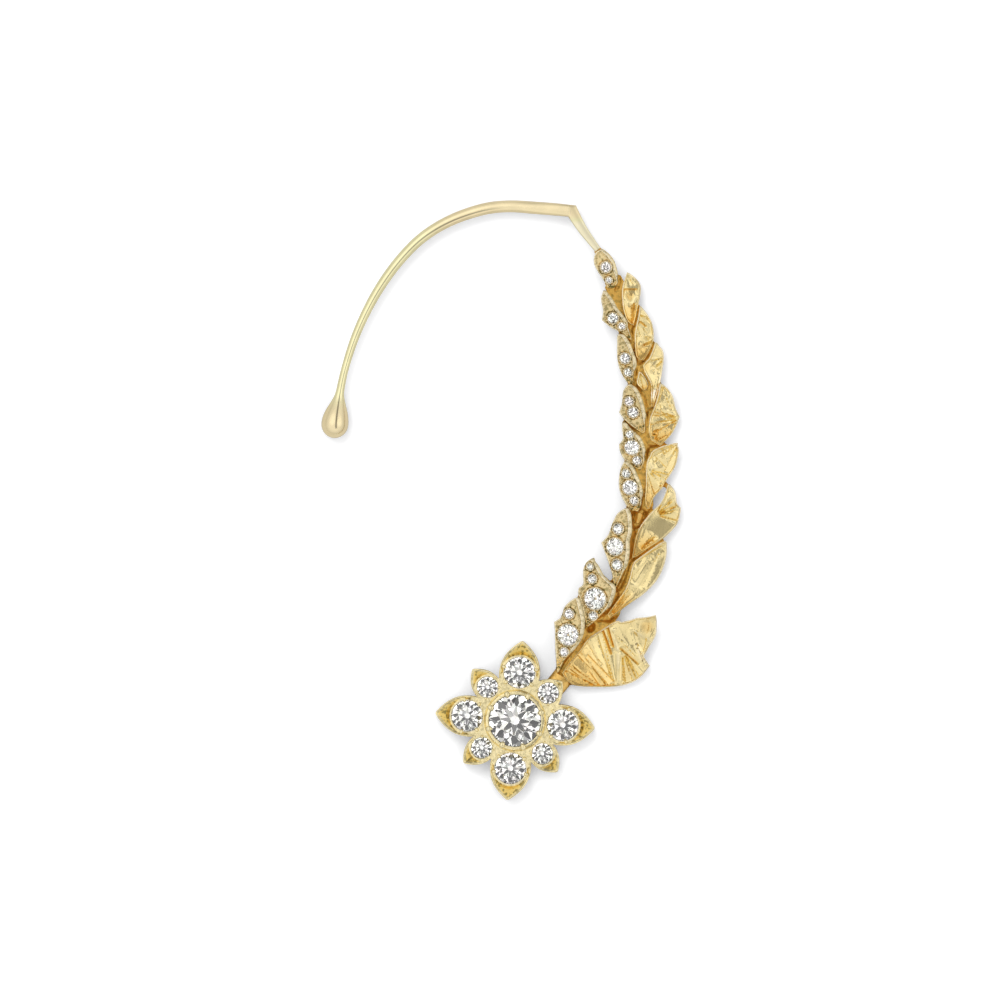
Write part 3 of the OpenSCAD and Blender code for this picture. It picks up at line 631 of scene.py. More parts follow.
def fan_share(fan, points):
    """Distance from a fan's centre in mm, and how many cuts lie before each point."""
    x = points[..., 0] / MM - fan.x
    y = points[..., 1] / MM - fan.y
    middle = (fan.first_angle + fan.last_angle) / 2
    angle = (np.degrees(np.arctan2(y, x)) - middle + 180) % 360 - 180 + middle
    edges = cut_angles(fan)
    return np.hypot(x, y), np.interp(angle, edges, np.arange(len(edges)), left=-1, right=len(edges))


def fan_depth(fan, points):
    """Depth of a fan's cuts at each point; no two cuts are equally deep."""
    reach, step = fan_share(fan, points)
    share = step % 1
    facet = np.where(share < RIDGE, share / RIDGE, (1 - share) / (1 - RIDGE))
    uneven = 0.7 + 0.6 * ((np.floor(step) * 0.618) % 1)
    sides = np.clip(np.minimum(step, fan.cuts - step) * 2, 0, 1)
    begins = smoothstep(fan.near, fan.near + FAN_BEGINS, reach)
    ends = 1 - smoothstep(fan.far - FAN_ENDS, fan.far, reach)
    return fan.depth * MM * (1 - facet) * uneven * sides * (begins * ends)


def stroke_line(stroke):
    """Start, direction and length of a chisel stroke in mm."""
    start = np.array((stroke.x, stroke.y))
    run = np.array((stroke.to_x, stroke.to_y)) - start
    return start, run / np.linalg.norm(run), np.linalg.norm(run)


def stroke_depth(stroke, points):
    """Depth of one chisel stroke at each point, below 0 where it leaves a ridge."""
    start, ahead, length = stroke_line(stroke)
    away = points[..., :2] / MM - start
    along = away @ ahead
    left = away @ (-ahead[1], ahead[0])
    across = np.clip(1 - np.where(left > 0, left / stroke.left, -left / stroke.right), 0, 1)
    begins = smoothstep(-STROKE_BEFORE, STROKE_FULL, along)
    ends = smoothstep(-STROKE_BEFORE, STROKE_FULL, length - along)
    return stroke.depth * MM * across * (begins * ends)


def chased(points, node, distance):
    """Depth of the chisel cuts at each point of a leaf, below 0 on a ridge."""
    depth = np.zeros(points.shape[:-1])
    ridge = np.zeros(points.shape[:-1])
    for row in FANS[node]:
        depth = np.maximum(depth, fan_depth(Fan(*row), points))
    for row in STROKES[node]:
        cut = stroke_depth(Stroke(*row), points)
        depth = np.maximum(depth, cut)
        ridge = np.minimum(ridge, cut)
    return (depth + ridge) * smoothstep(0.1 * MM, 0.26 * MM, distance)


def cut_lines(node, spacing):
    """Points along the ridges and valleys of the chisel cuts, so that they come out crisp."""
    marks = []
    for row in STROKES[node]:
        stroke = Stroke(*row)
        start, ahead, length = stroke_line(stroke)
        reach = np.arange(0, length, spacing / MM)
        for off in (0, stroke.left, -stroke.right):
            marks.append((start + np.outer(reach, ahead) + off * np.array((-ahead[1], ahead[0]))) * MM)
    for row in FANS[node]:
        fan = Fan(*row)
        reach = np.arange(fan.near, fan.far, spacing / MM)
        edges = cut_angles(fan)
        for turn in np.radians(np.concatenate([edges, edges[:-1] + RIDGE * np.diff(edges)])):
            line = np.outer(reach, (math.cos(turn), math.sin(turn)))
            marks.append((line + (fan.x, fan.y)) * MM)
    marks = np.concatenate(marks)
    return marks[np.unique(np.round(marks / (0.6 * spacing)), axis=0, return_index=True)[1]]


def along_leaf(points, loop):
    """Share of the way from a leaf's base to its tip at each point."""
    plan = loop[::4, :2]
    gaps = np.linalg.norm(plan[:, None] - plan[None], axis=2)
    one, two = np.unravel_index(gaps.argmax(), gaps.shape)
    base, tip = (plan[one], plan[two]) if plan[one, 1] < plan[two, 1] else (plan[two], plan[one])
    return (points[..., :2] - base) @ (tip - base) / ((tip - base) @ (tip - base))


def rim_walls(shape, top, under, roll=None):
    """Side walls between a top and an under outline; roll moves their upper part outwards."""
    wall = between(top, under, WALL_LEVELS)
    if roll is not None:
        wall += roll[:, None] * WALL_ROLL[None, :, None]
    # The walls are painted paler at the top as a highlight and deeper below as shade
    shape.grid(wall, np.broadcast_to(WALL_PAINTED_LIGHT, wall.shape[:2]), 1.0, closed=True)


def patched(tint, plan, node):
    """A leaf's painted light with its patches of painted shade and painted highlight."""
    for x, y, radius, value in PAINTED_PATCHES.get(node, ()):
        near = 1 - smoothstep(0.3 * radius, radius, np.hypot(plan[:, 0] / MM - x, plan[:, 1] / MM - y))
        tint = tint * (1 - near) + value * near
    return tint


def chased_tint(node, plan, loop, distance, cuts):
    """Painted light of a chased leaf: painted shade at its base and in its cuts, painted highlight on its
    ridges and its rim.
    """
    base_shade = 1 - smoothstep(0.08, 0.45, along_leaf(plan, loop))
    tint = base_shade + np.maximum(cuts, 0) / FULL_CUT + np.minimum(cuts, 0) / FULL_RIDGE
    tint = patched(tint, plan, node)
    return np.clip(tint - RIM_HIGHLIGHT * (distance < RIM_HIGHLIGHT_WIDTH), -1, 1) + smoothstep(CUT_SHADE_FROM, CUT_SHADE_FULL, cuts)


def gold_leaf(node):
    """A chased leaf: raised rim, crossing chisel cuts, painted shade towards its base."""
    leaf = settings().leaf
    loop = curve_through(outline(node, lambda f: f.normal.z > 0.3))
    tree, low = solid_tree(node)

    def height_at(x, y):
        """Height of the leaf, or of the nearest point of its edge."""
        height = top_at(tree, x, y)
        if height is None:
            height = loop[np.hypot(loop[:, 0] - x, loop[:, 1] - y).argmin(), 2]
        return height

    plan, faces, rim = sheet(loop, leaf.net, cut_lines(node, leaf.net))
    height = np.array([height_at(x, y) for x, y in plan])
    height[rim] = loop[:, 2]
    height = smoothed(height, faces, rim, leaf.smoothing)
    distance = edge_distance(plan, loop)
    cuts = chased(plan, node, distance) * leaf.cut_depth
    top = np.column_stack([plan, height + rim_profile(distance, leaf.recess) - cuts])
    shape = Shape()
    polish = 1 - smoothstep(0.12 * MM, RIM_FOOT, distance)
    shape.add(top, faces, chased_tint(node, plan, loop, distance, cuts), polish)
    plan, faces, under_rim = sheet(loop, leaf.net * 4, rings=())
    under = np.array([height_at(x, y) for x, y in plan])
    under[under_rim] = loop[:, 2]
    under = np.column_stack([plan, np.maximum(under - leaf.thickness, low)])
    # The underside is painted deeper as shade
    shape.add(under, [f[::-1] for f in faces], 0.6, 0.3)
    rim_walls(shape, top[rim], under[under_rim])
    return shape.finish(node + "_chased", gold("chased_gold"), "branch_gold", [node], 18)


def on_plane(plan, point, normal):
    """Plan points lifted onto the plane through a point."""
    height = point[2] - ((plan - point[:2]) @ normal[:2]) / normal[2]
    return np.column_stack([plan, height])


def leaf_plate(node, normal):
    """Outline of a set leaf's underside, and the leaf's thickness along its normal."""
    mesh = np.array([v.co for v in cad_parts[node].data.vertices])
    lowest = (mesh @ normal).min() + 0.003 * MM
    loop = outline(node, lambda f: all(np.dot(v.co, normal) < lowest for v in f.verts))
    rise = (mesh - loop[0]) @ normal
    off = np.linalg.norm(mesh - loop[0] - np.outer(rise, normal), axis=1)
    return loop, rise[off < 0.005 * MM].max()


def seat_height(girdle, radius, rho, clearance):
    """Height of the metal under a stone at a distance rho from the stone's axis."""
    return girdle - SEAT_DROP * radius - SEAT_SLOPE * (radius - rho) - clearance


def seat_marks(centre, axis, radius):
    """Plan points on rings round a stone's seat."""
    rings = [centre + all_round(axis, 40) * radius * share for share in (0.25, 0.5, 0.75, 0.96, 1.03, 1.1)]
    return np.concatenate(rings)[:, :2]


def set_face(shape, node, loop, normal, stones, leaf):
    """Adds the face of a set leaf with its rim, moats and seats, and gives the points of its edge."""
    marks = np.concatenate([seat_marks(*stone) for stone in stones])
    plan, faces, rim = sheet(loop, leaf.net * 1.3, marks)
    points = on_plane(plan, loop[0], normal)
    distance = edge_distance(points, loop)
    dip = rim_profile(distance, leaf.recess)
    # Painted shade on the field below the rim, in the moats round the stones and towards the base; the rim
    # gets a painted highlight
    tint = 0.15 * smoothstep(0.12 * MM, 0.3 * MM, distance)
    for centre, axis, radius in stones:
        rho = np.linalg.norm(points - centre - ((points - centre) @ axis)[..., None] * axis, axis=1)
        seat = seat_height(0, radius, rho, 0.08 * MM)
        dip = np.where(rho < radius + MOAT_REACH, np.minimum(dip, -leaf.moat), dip)
        dip = np.where(rho < radius + SEAT_REACH, np.minimum(dip, seat), dip)
        tint = np.where(rho < radius + MOAT_SHADE_REACH, MOAT_SHADE, tint)
    base_shade = 1 - smoothstep(0.02, 0.25, along_leaf(plan, loop))
    tint = patched(np.maximum(tint, base_shade), plan, node) - RIM_HIGHLIGHT * (distance < RIM_HIGHLIGHT_WIDTH)
    top = points + dip[:, None] * normal
    shape.add(top, faces, tint, 1 - smoothstep(0.13 * MM, RIM_FOOT, distance))
    return top[rim]


def diamond_leaf(node):
    """A thick set leaf: rounded rim, sunk field, collars and grains round the stones, polished sides."""
    leaf = settings().leaf
    stones = [stone_place(n) for n in STONES if n.startswith(node + "_stone")]
    normal = stones[0][1]
    under_loop, thick = leaf_plate(node, normal)
    loop = curve_through(under_loop + normal * thick)
    shape = Shape()
    edge = set_face(shape, node, loop, normal, stones, leaf)
    plan, faces, under_rim = sheet(loop, leaf.net * 5, rings=())
    under = on_plane(plan, loop[0], normal) - normal * thick
    # The underside is painted deeper as shade
    shape.add(under, [f[::-1] for f in faces], 0.4, 0.3)
    outward = -inward(loop, normal)
    facing = np.clip(outward[:, 0] * 1.3 - 0.25, 0, 1) * smoothstep(0.15, 0.35, along_leaf(loop, loop))
    rim_walls(shape, edge, under[under_rim], outward * (facing * leaf.roll)[:, None])
    for centre, axis, radius in stones:
        collar(shape, centre, axis, radius, 0.12 * MM, -0.8)
        leaf_grains(shape, centre, axis, radius, loop, leaf)
    milgrain(shape, loop, normal, stones, leaf)
    return shape.finish(node + "_set", gold("set_leaf_gold"), "branch_gold", [node], 34)


def collar(shape, centre, axis, radius, width, tint):
    """The bright cut ring of metal round a stone, its colour painted paler as a highlight."""
    bore = radius + COLLAR_GAP
    profile = [(bore, -COLLAR_DEPTH * radius), (bore, 0.0)]
    profile += [(radius + out * width, up * width) for out, up in COLLAR_PROFILE]
    shape.lathe(centre, axis, profile, tint=tint, polish=0.8)


def leaf_grains(shape, centre, axis, radius, loop, leaf):
    """The grains that hold a leaf stone, but for those that would stand over the leaf's edge."""
    grains = round(2 * math.pi * (radius + 0.1 * MM) / leaf.grain_step)
    for k in range(grains):
        spoke = spin(axis, 2 * math.pi * (k + 0.5) / grains)
        place = centre + spoke * (radius + GRAIN_REACH) + axis * GRAIN_RISE
        if edge_distance(place[None], loop)[0] > GRAIN_REACH:
            # The grains are painted paler as a highlight
            shape.bead(place, axis, leaf.grain, polish=0.9, tint=-0.5)


def milgrain(shape, loop, normal, stones, leaf):
    """A row of tiny beads just inside a leaf's rim."""
    inset = 0.2 * MM + leaf.bead / 2
    line = loop + inward(loop, normal) * inset
    travelled = leaf.bead * 2
    for before, p in zip(np.roll(line, 1, 0), line):
        travelled += np.linalg.norm(p - before)
        clear = all(np.linalg.norm(p - c) > r + 0.5 * leaf.bead for c, _, r in stones)
        if travelled >= leaf.bead * 1.2 and clear and edge_distance(p[None], loop)[0] > inset * 0.85:
            # The beads are painted a little paler as a highlight
            shape.bead(p - normal * leaf.recess, normal, leaf.bead, polish=0.8, tint=-0.1)
            travelled = 0


# Solder


def scan(cell):
    """Heights of the leaves and of the stem on a plan of square cells, and the plan's lower corner."""
    areas = {}
    for node in DIAMOND_LEAVES + GOLD_LEAVES + ["bud_leaf", "ear_hook", "branch_stem"]:
        areas[node] = np.array(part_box(node))[:, :2]
    areas["ear_hook"] = np.array(ARM_END) * MM
    low = np.min([area[0] for area in areas.values()], 0) - cell * PLAN_MARGIN
    high = np.max([area[1] for area in areas.values()], 0) + cell * PLAN_MARGIN
    leaves = np.full(np.ceil((high - low) / cell).astype(int), np.nan)
    stem = leaves.copy()
    for node, area in areas.items():
        tree, _ = solid_tree(node)
        height = stem if node == "branch_stem" else leaves
        first = np.floor((area[0] - low) / cell).astype(int)
        last = np.ceil((area[1] - low) / cell).astype(int)
        for i in range(first[0], last[0] + 1):
            for k in range(first[1], last[1] + 1):
                x, y = low + (np.array((i, k)) + 0.5) * cell
                top = top_at(tree, x, y)
                if top is not None and not height[i, k] > top:
                    height[i, k] = top
    return leaves, stem, low


def solder():
    """Solder that fills the narrow seams where the leaves meet each other and the stem."""
    seam = settings().seam
    height, stem, low = scan(seam.cell)
    leaves, bar = ~np.isnan(height), ~np.isnan(stem)
    near = int(seam.reach / seam.cell)
    far = int(seam.stem_reach / seam.cell)
    closed = closed_up(leaves | bar, near)
    closed |= closed_up(leaves | bar, far) & grown(bar, far)
    closed |= enclosed(closed, seam.hole / seam.cell**2)
    groove = closed_up(leaves, far)
    height = np.where(bar & ~leaves & ~groove, stem, height)
    web = grown(closed & ~leaves & (~bar | groove), UNDER_LEAVES) & closed
    lowest = np.where(bar, stem + 0.05 * MM, 0.3 * MM)
    top = np.maximum(spread(height, far + CARRY_ON, EVEN_OUT) - seam.drop, lowest)
    mesh = slab("seam_solder", web, top, low, seam)
    # The solder is painted fully in its deep colour as the shade in the seams
    mark(mesh, "tint", np.full(len(mesh.vertices), 1.0))
    mark(mesh, "polish", np.full(len(mesh.vertices), 0.5))
    return dress(mesh, "seam_solder", gold("solder_gold"), [], 60)


def neighbours(grid):
    """A grid moved by one cell to each of its four sides."""
    return [np.roll(grid, step, axis) for step, axis in ((1, 0), (-1, 0), (1, 1), (-1, 1))]


def spread(height, rounds, even):
    """Heights carried on into the cells that have none, and then evened out a number of times."""
    for _ in range(rounds):
        known = ~np.isnan(height)
        total = sum(neighbours(np.where(known, height, 0)))
        count = sum(neighbours(known.astype(int)))
        height = np.where(known, height, np.where(count > 0, total / np.maximum(count, 1), np.nan))
    height = np.where(np.isnan(height), 0.5 * MM, height)
    for _ in range(even):
        height = (height + sum(neighbours(height))) / 5
    return height


def slab(name, web, top, low, seam):
    """A rounded slab over the cells of a web, from its top down by the thickness of the solder."""
    bm = bmesh.new()
    verts = {}
    corners = ((0, 0), (1, 0), (1, 1), (0, 1))
    beside = ((0, -1), (1, 0), (0, 1), (-1, 0))

    def corner(i, k, level):
        """The point at a cell's corner, made once: level is 1 on top and 0 below."""
        key = (i, k, level)
        if key not in verts:
            x, y = low + np.array((i, k)) * seam.cell
            z = top[i, k] - (0 if level else min(seam.thickness, top[i, k] - 0.02 * MM))
            verts[key] = bm.verts.new((x, y, z))
        return verts[key]

    for i, k in zip(*np.nonzero(web)):
        bm.faces.new([corner(i + a, k + b, 1) for a, b in corners])
        bm.faces.new([corner(i + a, k + b, 0) for a, b in reversed(corners)])
        for side, (out_i, out_k) in enumerate(beside):
            if not web[i + out_i, k + out_k]:
                one, two = corners[side], corners[(side + 1) % 4]
                ends = ((one, 1), (one, 0), (two, 0), (two, 1))
                bm.faces.new([corner(i + a, k + b, level) for (a, b), level in ends])
    for _ in range(4):
        bmesh.ops.smooth_vert(
            bm, verts=bm.verts, factor=0.5, use_axis_x=True, use_axis_y=True, use_axis_z=True)
    bmesh.ops.recalc_face_normals(bm, faces=bm.faces)
    mesh = bpy.data.meshes.new(name)
    bm.to_mesh(mesh)
    bm.free()
    return mesh


def enclosed(mask, most):
    """Cells of the holes in a mask that cover up to a number of cells."""
    small = np.zeros(mask.shape, bool)
    left = {(int(i), int(k)) for i, k in zip(*np.nonzero(~mask))}
    while left:
        hole, edge = [], [left.pop()]
        while edge:
            i, k = edge.pop()
            hole.append((i, k))
            for near in ((i + 1, k), (i - 1, k), (i, k + 1), (i, k - 1)):
                if near in left:
                    left.discard(near)
                    edge.append(near)
        if len(hole) <= most:
            small[tuple(np.array(hole).T)] = True
    return small


def grown(mask, size):
    """A mask made wider by a number of cells all round."""
    wide = mask.copy()
    for i in range(-size, size + 1):
        for k in range(-size, size + 1):
            if i * i + k * k <= size * size:
                wide |= np.roll(mask, (i, k), (0, 1))
    return wide


def closed_up(mask, size):
    """A mask with the gaps closed that are up to twice a number of cells wide."""
    return ~grown(~grown(mask, size), size)


# Ear wire and stem


def rounded(node, crease_angle, levels):
    """A finely rounded copy of a CAD node's mesh that keeps its real edges, and its points in mm."""
    bm = welded(node)
    bmesh.ops.join_triangles(bm, faces=bm.faces, angle_face_threshold=0.9, angle_shape_threshold=1.5)
    crease = bm.edges.layers.float.new("crease_edge")
    for edge in bm.edges:
        if edge.is_manifold and edge.calc_face_angle() > math.radians(crease_angle):
            edge[crease] = 1.0
    mesh = bpy.data.meshes.new(node + "_rough")
    bm.to_mesh(mesh)
    bm.free()
    rough = bpy.data.objects.new(node + "_rough", mesh)
    bpy.context.scene.collection.objects.link(rough)
    rounder = rough.modifiers.new("round", "SUBSURF")
    rounder.levels = rounder.render_levels = levels
    fine = bpy.data.meshes.new_from_object(rough.evaluated_get(bpy.context.evaluated_depsgraph_get()))
    bpy.data.objects.remove(rough)
    return fine, np.array([v.co for v in fine.vertices]) / MM


def ear_wire():
    """The polished wire with its arm and its drop, whose neck gets its full width."""
    fine, places = rounded("ear_hook", crease_angle=33, levels=3)
    neck = smoothstep(*NECK_BEGINS, places[:, 1]) * smoothstep(*NECK_ENDS, places[:, 1]) * (places[:, 0] < 0)
    side = np.array([v.normal for v in fine.vertices]) * LEVEL
    moved = places * MM + side * (NECK_WIDER * neck)[:, None]
    fine.vertices.foreach_set("co", moved.astype(np.float32).ravel())
    # Painted reflection and shade on the wire's top and drop, painted highlight on its arm
    mark(fine, "tint", wire_painted_light(places))
    mark(fine, "polish", smoothstep(*POLISH_FADES, places[:, 0]))
    return dress(fine, "ear_hook_polished", gold("polished_wire"), ["ear_hook"], 33)


def stem():
    """The hammered bar that carries the leaves."""
    fine, places = rounded("branch_stem", crease_angle=60, levels=2)
    # The stem is painted deeper orange as shade between the leaves
    mark(fine, "tint", np.full(len(places), 0.2))
    mark(fine, "polish", np.zeros(len(places)))
    return dress(fine, "branch_stem_rounded", gold("stem_gold"), ["branch_stem"], 50)


def wire_painted_light(places):
    """Painted light of the ear wire: painted reflection and shade along its top and at the drop, painted
    highlight on the arm; places are in mm.
    """
    top = smoothstep(-9, -4, places[:, 0])
    drop = smoothstep(10.8, 8.6, places[:, 1]) * (places[:, 0] < 0)
    arm = smoothstep(28.6, 27.6, places[:, 1]) * smoothstep(6.4, 7.0, places[:, 0])
    return np.clip(np.maximum(top, drop) - 1.5 * arm, -0.5, 1)


# Flower


def flower():
    """Petals with hollow two-sided tips, a raised centre, collars and grains, in one piece."""
    look = settings().flower
    stones = [stone_place(n) for n in PETAL_STONES]
    hub, hub_axis, hub_radius = stone_place("centre_stone")
    centre = hub * LEVEL
    first = plan_angle(stones[0][0] - centre)
    shape = Shape()
    edge = flower_face(shape, stones, centre, first, look)
    foot = edge * LEVEL + (centre - edge * LEVEL) * 0.004
    # The flower's wall is painted a little paler as a highlight and its back deeper as shade
    shape.grid(between(edge, foot, FLOWER_WALL), -0.1, 0.9, closed=True)
    back = np.stack([foot, (foot + centre) / 2, np.broadcast_to(centre, foot.shape)], 1)
    shape.grid(back, 0.3, 0.4, closed=True)
    for place, axis, radius in stones:
        collar(shape, place, axis, radius, 0.13 * MM, -0.35)
        size = radius * 2 * look.grain_share
        for angle in GRAIN_ANGLES:
            out = heading(plan_angle(place - centre) + math.radians(angle))
            shape.bead(place + out * (radius + 0.3 * size) + UP * 0.08 * MM, UP, size, -out * size * 0.35)
    collar(shape, hub, hub_axis, hub_radius, 0.13 * MM, -0.1)
    for k in range(len(stones)):
        out = heading(first + math.pi * 2 * (k + 0.5) / len(stones))
        place = hub + out * (hub_radius + 0.12 * MM) + UP * 0.1 * MM
        shape.bead(place, UP, HUB_GRAIN, -out * HUB_GRAIN * 0.3)
    return shape.finish("flower_setting_cast", gold("cast_flower"), "flower_gold", ["flower_setting"], 32)


def plan_angle(vector):
    """Angle of a vector seen from above."""
    return math.atan2(vector[1], vector[0])


def flower_face(shape, stones, centre, first, look):
    """Adds the flower's face as rings of points round its centre, and gives the points of its edge."""
    steps = len(stones) * PETAL_SPOKES
    turn = first + np.arange(steps) * 2 * math.pi / steps
    spoke = np.stack([np.cos(turn), np.sin(turn), np.zeros(steps)], 1)
    reach = star_reach(flower_outline(), centre, spoke)
    blunt = reach
    for _ in range(look.tip_rounding):
        blunt = (np.roll(blunt, 1) + blunt + np.roll(blunt, -1)) / 3
    reach = np.minimum(reach, blunt)
    hub = stone_place("centre_stone")
    outer = reach[:, None] - FLOWER_RIM[None]
    field = outer[:, -1:] + (hub[2] + HUB_RIM - outer[:, -1:]) * np.linspace(0, 1, FIELD_RINGS)[1:]
    inner = np.append(HUB_RINGS + hub[2], 0)
    radii = np.concatenate([outer, field, np.broadcast_to(inner, (steps, len(inner)))], 1)
    points = centre + spoke[:, None] * radii[..., None]
    distance = edge_distance(points, centre + spoke * reach[:, None])
    points[..., 2], tint = petal_heights(points, distance, centre, stones, look)
    raise_hub(points, centre, hub)
    polish = np.maximum(1 - smoothstep(0.16 * MM, 0.24 * MM, distance), 0.35)
    shape.grid(points, tint, polish, closed=True, flip=True)
    return points[:, 0]


def flower_outline():
    """The outline of the flower's plate with its eight tips."""

    def is_plate(face):
        return face.normal.z > 0.999 and abs(face.calc_center_median().z - PLATE) < 0.02 * MM

    return curve_through(outline("flower_setting", is_plate), corner=30.0)


def star_reach(loop, centre, spoke):
    """How far the outline lies from the centre along each spoke."""
    a = loop[:, :2] - centre[:2]
    b = np.roll(a, -1, 0)
    reach = np.zeros(len(spoke))
    for i, s in enumerate(spoke[:, :2]):
        side_a = a[:, 0] * s[1] - a[:, 1] * s[0]
        side_b = b[:, 0] * s[1] - b[:, 1] * s[0]
        crosses = (side_a > 0) != (side_b > 0)
        t = side_a[crosses] / (side_a[crosses] - side_b[crosses])
        hits = a[crosses] + (b[crosses] - a[crosses]) * t[:, None]
        along = hits @ s
        reach[i] = along.max()
    return reach


def petal_heights(points, distance, centre, stones, look):
    """Height and painted light of the petals at each point, with painted shade in their hollow tips, and
    their seats.
    """
    height = PLATE + rim_profile(distance, 0.05 * MM)
    tint = np.full(distance.shape, 0.1)
    away = (points - centre)[..., :2]
    for place, _, radius in stones:
        out = (place - centre)[:2]
        middle = np.linalg.norm(out)
        out = out / middle
        along = away @ out
        across = np.abs(away[..., 0] * -out[1] + away[..., 1] * out[0])
        tip = (along > middle + radius * 0.2) & (across < PETAL_HALF_WIDTH)
        rho = np.linalg.norm((points - place)[..., :2], axis=-1)
        past = smoothstep(radius + 0.22 * MM, radius + 0.34 * MM, rho)
        hollow = np.clip((distance - 0.16 * MM) * look.tip_slope, 0, look.tip_depth) * past
        height = np.where(tip, height - hollow, height)
        # Painted shade in the hollow of each tip
        hollow_shade = smoothstep(0.14 * MM, 0.34 * MM, distance) * past
        tint = np.where(tip, np.maximum(tint, hollow_shade), tint)
        seat = seat_height(place[2], radius, rho, 0.05 * MM)
        height = np.where(rho < radius + 0.02 * MM, np.minimum(height, seat), height)
    return height, tint


def raise_hub(points, centre, hub):
    """Lifts the metal round the centre stone and sinks its seat."""
    place, _, radius = hub
    height = points[..., 2]
    rho = np.linalg.norm((points - centre)[..., :2], axis=-1)
    climb = smoothstep(radius + HUB_RIM, radius + 0.28 * MM, rho)
    raised = place[2] - 0.02 * MM
    height = np.where(rho < radius + HUB_RIM, height + (raised - height) * climb, height)
    seat = seat_height(place[2], radius, rho, 0.04 * MM)
    points[..., 2] = np.where(rho < radius + 0.02 * MM, np.minimum(height, seat), height)


# Materials


def socket(group, name, kind, into, value=None, low=None, high=None):
    """A named input or output of a node group."""
    made = group.interface.new_socket(name=name, in_out=into, socket_type=kind)
    if value is not None:
        made.default_value = value
    if low is not None:
        made.min_value, made.max_value = low, high


def new_node(nodes, kind, values=None, **fields):
    """A shader node with its fields and then its input values set."""
    made = nodes.new("ShaderNode" + kind)
    for name, value in fields.items():
        setattr(made, name, value)
    for name, value in (values or {}).items():
        made.inputs[name].default_value = value
    return made


def join(links, *wires):
    """Links outputs to inputs: a wire is a node, its output, another node and its input."""
    for source, output, target, entry in wires:
        links.new(source.outputs[output], target.inputs[entry])


def new_material(name, **values):
    """A material, its nodes, its links and its surface with the values set; words are joined by _."""
    material = bpy.data.materials.new(name)
    material.use_nodes = True
    nodes, links = material.node_tree.nodes, material.node_tree.links
    surface = nodes["Principled BSDF"]
    for label, value in values.items():
        surface.inputs[label.replace("_", " ")].default_value = value
    return material, nodes, links, surface


